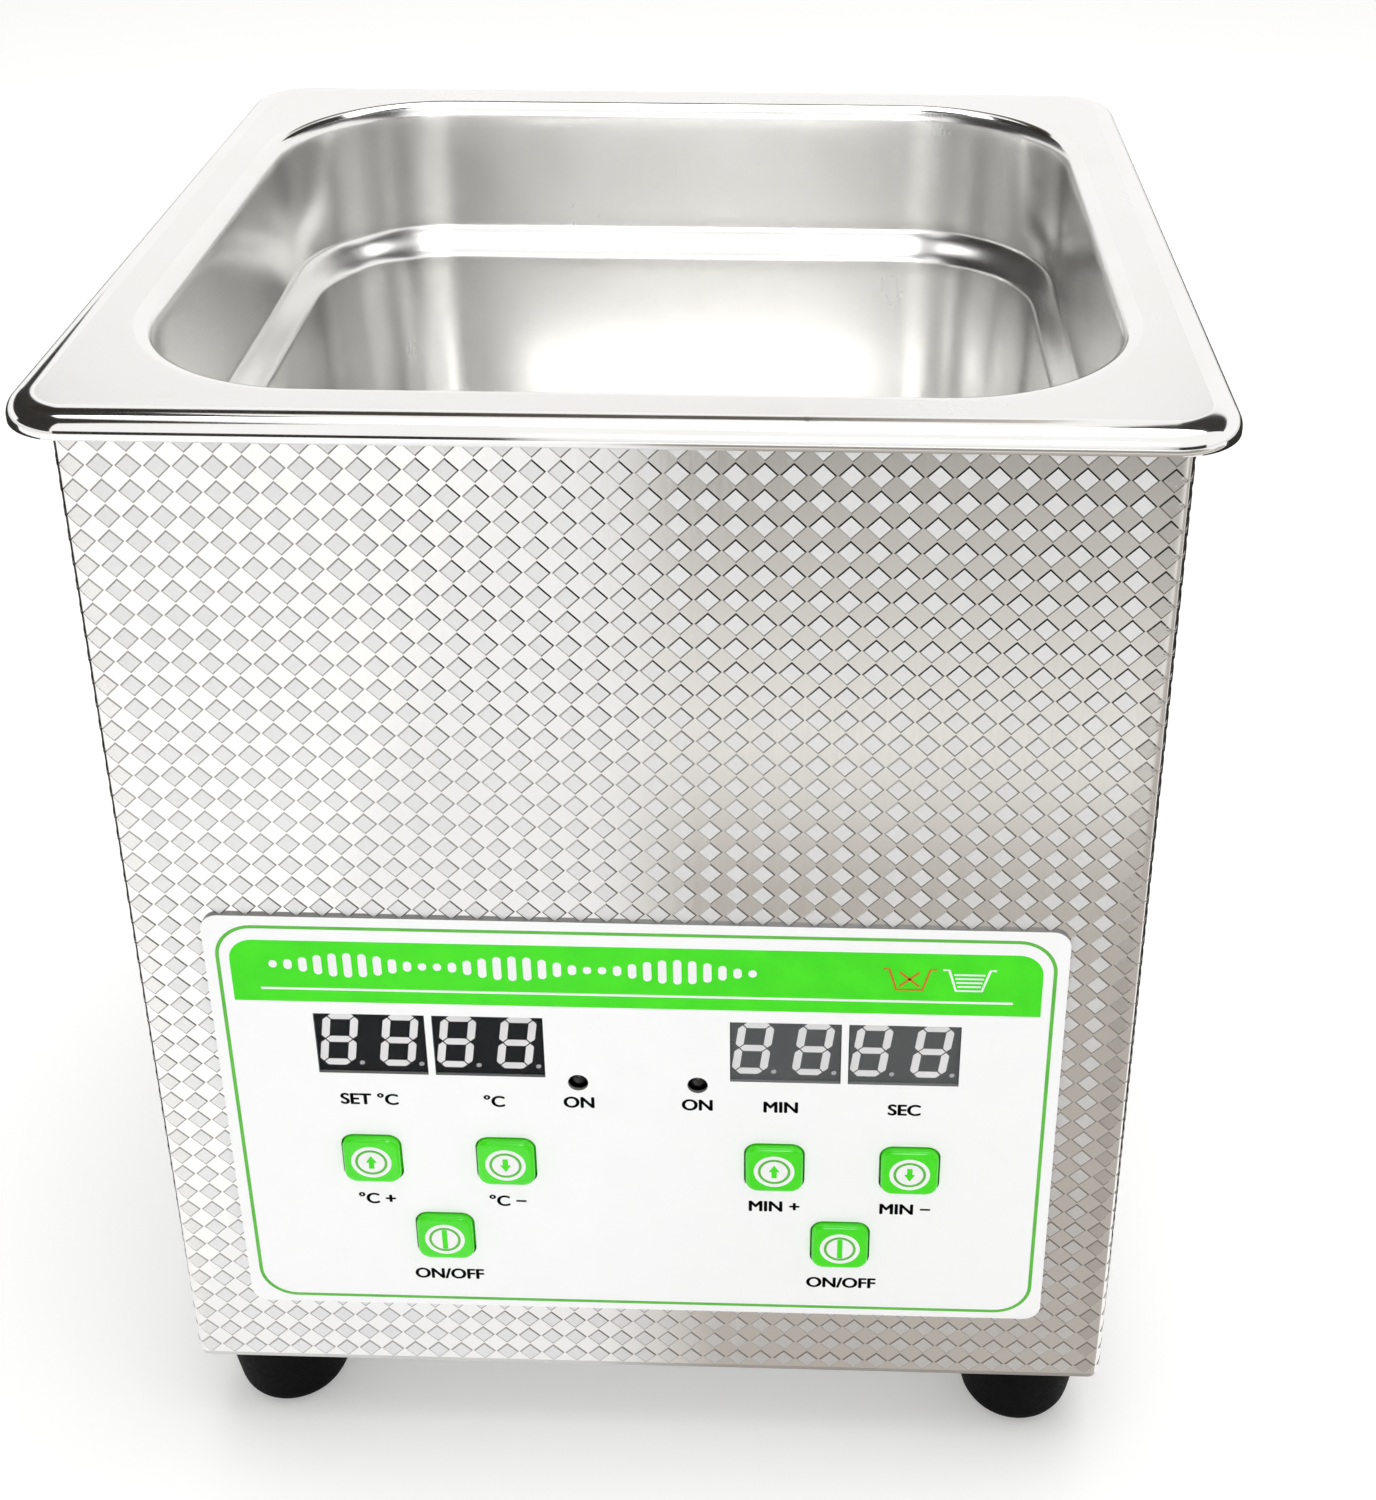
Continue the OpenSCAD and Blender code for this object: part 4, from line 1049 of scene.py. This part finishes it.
def key_cap(node, body):
    """A moulded cap with a flange behind, rounded edges and a flat top."""
    low, high = box_mm(node)
    cx, cz = (low.x + high.x) / 2, (low.z + high.z) / 2
    half = KEY_SIDE / 2
    flange = high.x - cx
    sections = [(flange, high.y), (flange, high.y - KEY_FLANGE_T + KEY_EASE)]
    sections += [(half, high.y - KEY_FLANGE_T), (half, low.y + KEY_ROUND)]
    for x, y in arc_points(0, 0, KEY_ROUND, 15, 90, 6):
        sections.append((half - KEY_ROUND + x, low.y + KEY_ROUND - y))
    sections += [(reach, low.y) for reach in KEY_TOP_REACHES]
    verts, faces = loft([key_ring(cx, cz, reach, y) for reach, y in sections])
    obj = mesh_object(node + "_cap", verts, faces, [MATERIALS["key_green"]], body=body)
    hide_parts(node)
    return cx, low.y, cz


def key_ring(cx, cz, half, y):
    """One section of a cap."""
    r = min(KEY_CORNER_R, half * 0.9)
    return [(cx + p.x, y, cz + p.y) for p in rounded_rect(half, half, r, 8)]


def arrow_loop(up):
    """An arrow that points up or down."""
    sign = 1 if up else -1
    side = [(ARROW_HEAD, ARROW_NECK), (ARROW_SHAFT, ARROW_NECK), (ARROW_SHAFT, ARROW_TAIL)]
    points = [(0, ARROW_TIP)] + side + [(-x, z) for x, z in reversed(side)]
    return [(x, z * sign) for x, z in points]


def key_sign(node, body, cx, y, cz, sign):
    """White disc, green ring and green arrow or bar on a cap."""
    def put(part, loops, ink, level):
        plate(f"{node}_{part}", loops, ink, y - level * PRINT_T, cx, cz, body=body)

    put("disc", [circle_loop(ICON_R)], "ink_white", 0)
    put("ring", [circle_loop(r) for r in ICON_RING], "ink_line", 1)
    if sign == "bar":
        put("bar", [round_loop(BAR_HALF_W, BAR_HALF_H, BAR_R)], "ink_green", 1)
    else:
        put("arrow", [arrow_loop(sign == "up")], "ink_green", 1)


KEY_SIGNS = {"temp_up": "up", "temp_down": "down", "heat": "bar",
             "time_up": "up", "time_down": "down", "timer": "bar"}


def keys():
    """A cap and its sign on each push key."""
    for name, sign in KEY_SIGNS.items():
        node, body = "key_" + name, "button_" + name
        cx, y, cz = key_cap(node, body)
        key_sign(node, body, cx, y, cz, sign)


# Studio

# Camera: place in millimetres, turns in degrees, the photograph's frame in pixels, sensor in millimetres
CAMERA_AT = (26.33, -333.39, 331.42)
YAW, PITCH, ROLL = -1.613, 25.649, -0.120
FRAME_W, FRAME_H = 1376, 1500
AXIS_X, AXIS_Y = 753.8, 419.9
FOCAL_PX = 2045.9
SENSOR = 36.0


def camera():
    """Camera at the photograph's viewing angle."""
    yaw, pitch, roll = (math.radians(a) for a in (YAW, PITCH, ROLL))
    ahead = Vector((math.sin(yaw) * math.cos(pitch), math.cos(yaw) * math.cos(pitch), -math.sin(pitch)))
    right = Vector((math.cos(yaw), -math.sin(yaw), 0))
    down = ahead.cross(right)
    across = math.cos(roll) * right + math.sin(roll) * down
    down = -math.sin(roll) * right + math.cos(roll) * down
    data = bpy.data.cameras.new("camera")
    data.sensor_width = SENSOR
    data.lens = FOCAL_PX * SENSOR / FRAME_H
    data.shift_x = (FRAME_W / 2 - AXIS_X) / FRAME_H
    data.shift_y = (AXIS_Y - FRAME_H / 2) / FRAME_H
    data.clip_start = 0.01
    obj = bpy.data.objects.new("camera", data)
    axes = Matrix((across, -down, -ahead)).transposed().to_4x4()
    obj.matrix_world = Matrix.Translation(Vector(CAMERA_AT) * MM) @ axes
    bpy.context.scene.collection.objects.link(obj)
    bpy.context.scene.camera = obj


# Strength of the world as light, where what it shows is 1
WORLD_FILL = 0.55


def world():
    """White to the camera and to reflections, softer as light."""
    scene_world = bpy.data.worlds.new("studio")
    bpy.context.scene.world = scene_world
    scene_world.use_nodes = True
    tree = scene_world.node_tree
    background = tree.nodes["Background"]
    background.inputs["Color"].default_value = (1.0, 0.995, 0.985, 1)
    path = tree.nodes.new("ShaderNodeLightPath")
    seen = path.outputs["Is Camera Ray"]
    for name in ("Is Glossy Ray", "Is Transmission Ray"):
        either = tree.nodes.new("ShaderNodeMath")
        either.operation = "MAXIMUM"
        tree.links.new(seen, either.inputs[0])
        tree.links.new(path.outputs[name], either.inputs[1])
        seen = either.outputs[0]
    strength = tree.nodes.new("ShaderNodeMapRange")
    strength.inputs["To Min"].default_value = WORLD_FILL
    tree.links.new(seen, strength.inputs["Value"])
    tree.links.new(strength.outputs["Result"], background.inputs["Strength"])


def stage_plane(name, corners, material, only_reflected=False):
    """A flat quad of the studio, given by four corners in metres."""
    mesh = bpy.data.meshes.new(name)
    mesh.from_pydata(corners, [], [(0, 1, 2, 3)])
    mesh.materials.append(material)
    obj = bpy.data.objects.new(name, mesh)
    bpy.context.scene.collection.objects.link(obj)
    if only_reflected:
        obj.visible_camera = False
        obj.visible_diffuse = False
        obj.visible_shadow = False
        obj.visible_transmission = False


FLOOR_REACH = 4.0


def floor():
    """Pale floor that reads as white and keeps the object's shadow."""
    s = Surface("floor")
    cloud = s.noise(3, 3.0)
    s.tint(cloud, (0.90, 0.90, 0.895), (0.91, 0.91, 0.905))
    s.set(Roughness=0.9, Emission_Color=(1, 1, 1, 1), Emission_Strength=0.22, Specular_IOR_Level=0.0)
    r = FLOOR_REACH
    stage_plane("floor", [(-r, -r, 0), (r, -r, 0), (r, r, 0), (-r, r, 0)], s.material)


def glow(s, colour):
    """Make a surface shine evenly with a colour."""
    light = s.add("ShaderNodeEmission")
    s.link(colour, light.inputs["Color"])
    s.link(light.outputs["Emission"], s.output.inputs["Surface"])
    return s.material


def ramp(s, value, start, stop, stops):
    """Colours along a value between start and stop: stops are shares of the way and colours."""
    node = s.add("ShaderNodeValToRGB")
    marks = node.color_ramp.elements
    for i, (share, colour) in enumerate(stops):
        mark = marks[i] if i < 2 else marks.new(share)
        mark.position = share
        mark.color = (*colour, 1)
    s.link(s.ranged(value, 0, 1, (start, stop)), node.inputs["Fac"])
    return node.outputs["Color"]


# Floor card in metres: its edges, where its tones run along Y, and its left edge, which leans with Y
FLOOR_CARD_X = (-0.09, 0.7)
FLOOR_CARD_Y = (-0.08, -0.9)
FLOOR_CARD_Z = 0.001
FLOOR_TONES_Y = (-0.08, -0.58)
FLOOR_EDGE_X = (-0.022, 0.02)
FLOOR_EDGE_LEAN = -0.085
WHITE = (1.0, 1.0, 1.0)


def floor_card():
    """Glowing card on the floor in front, to the right, that the casing mirrors: its greys and browns round a
    paler band are painted shade on that stretch of floor.
    """
    s = Surface("card_floor")
    # Painted shade on the floor, in tones that run along Y
    tones = [(0.0, (0.50, 0.46, 0.42)), (0.30, (0.49, 0.46, 0.42)), (0.43, (0.90, 0.88, 0.85)),
             (0.60, (0.66, 0.63, 0.60)), (0.82, (0.38, 0.36, 0.34)), (1.0, (0.32, 0.30, 0.28))]
    along = ramp(s, s.axis(s.place, "Y"), *FLOOR_TONES_Y, tones)
    lean = s.add("ShaderNodeMath", operation="MULTIPLY_ADD")
    s.link(s.axis(s.place, "Y"), lean.inputs[0])
    lean.inputs[1].default_value = FLOOR_EDGE_LEAN
    s.link(s.axis(s.place, "X"), lean.inputs[2])
    fade = [(0.0, (0, 0, 0)), (1.0, WHITE), (0.45, (0.12, 0.12, 0.12))]
    share = s.add("ShaderNodeRGBToBW")
    s.link(ramp(s, lean.outputs[0], *FLOOR_EDGE_X, fade), share.inputs["Color"])
    card = glow(s, s.mixed(share.outputs["Val"], WHITE, along))
    (x0, x1), (y0, y1), z = FLOOR_CARD_X, FLOOR_CARD_Y, FLOOR_CARD_Z
    stage_plane("floor_card", [(x0, y0, z), (x1, y0, z), (x1, y1, z), (x0, y1, z)], card, True)


# Warm tint of the dark cards, and the reach of their clouds as shares of their grey
CARD_TINT = (1.0, 0.93, 0.86)
CARD_CLOUDS = (0.7, 1.3)


def dark_card(name, corners, grey=0.035):
    """A dark card: it gives bright metal its dark lines and shades."""
    s = Surface(name)
    cloud = s.noise(2, 2.0)
    low, high = (tuple(grey * k * part for part in CARD_TINT) for k in CARD_CLOUDS)
    card = glow(s, s.mixed(cloud, low, high))
    stage_plane(name, corners, card, True)


def back_card():
    """A card behind, dark to the left and paler to the right, that draws the edges of the flange."""
    s = Surface("card_back")
    tones = [(0.0, (0.03, 0.025, 0.02)), (1.0, (0.60, 0.56, 0.52)), (0.6, (0.12, 0.10, 0.085))]
    card = glow(s, ramp(s, s.axis(s.place, "X"), -0.5, 0.3, tones))
    stage_plane("card_back", upright((168, 225), (1.12, 1.6), 1.4), card, True)


# Distance of the standing cards in metres
CARD_DISTANCE = 1.6


def upright(azimuths, heights, distance=CARD_DISTANCE):
    """Corners of a card that stands round the object: degrees from the front, heights in metres."""
    points = []
    for azimuth, height in ((0, 0), (1, 0), (1, 1), (0, 1)):
        a = math.radians(azimuths[azimuth])
        points.append((distance * math.sin(a), -distance * math.cos(a), heights[height]))
    return points


def over_opening(x):
    """Corners of a card along Y above the opening; its lower edge clears what the front flange mirrors."""
    front, back, top = -0.072, 0.068, 0.75
    return [(x, front, 0.217), (x, back, 0.287), (x, back, top), (x, front, top)]


def beside(side):
    """Corners of a card on the floor, on one side of the object, in metres."""
    near, far, front, back, wide = 0.095, 1.2, -0.05, 0.9, 1.2
    z = 0.002
    return [(side * near, front, z), (side * near, back, z), (side * far, wide, z), (side * far, front, z)]


def cards():
    """Studio cards seen only in reflections: they draw the edges of the bright metal."""
    floor_card()
    dark_card("flag_behind", upright((95, 163), (1.05, 2.6)), 0.04)
    dark_card("flag_left", upright((-92, -34), (0.25, 3.6)))
    dark_card("flag_left_rear", upright((-150, -92), (0.55, 3.6)))
    dark_card("flag_middle", over_opening(0.027), 0.03)
    dark_card("horizon_right", upright((14, 52), (0.0, 0.42)))
    dark_card("horizon_left", upright((-30, -8), (0.0, 0.42)))
    back_card()
    dark_card("edge_left", beside(-1))
    dark_card("edge_right", beside(1))


def softbox(name, at, aim, size, power):
    """A rectangular lamp turned to a point, in metres and watts."""
    data = bpy.data.lights.new(name, "AREA")
    data.shape = "RECTANGLE"
    data.size, data.size_y = size
    data.energy = power
    obj = bpy.data.objects.new(name, data)
    obj.location = at
    obj.rotation_euler = (Vector(aim) - Vector(at)).to_track_quat("-Z", "Y").to_euler()
    bpy.context.scene.collection.objects.link(obj)


def lights():
    softbox("overhead", (0.1, 0.1, 1.5), (0, 0, 0.2), (1.3, 1.1), 12.0)
    softbox("window", (0.10, -1.6, 0.9), (0, 0, 0.15), (0.46, 0.5), 5.5)


def main():
    bpy.context.scene.view_settings.view_transform = "Standard"
    camera()
    dress_nodes()
    tank()
    casing_pattern()
    panel_print()
    displays()
    keys()
    world()
    floor()
    cards()
    lights()


main()
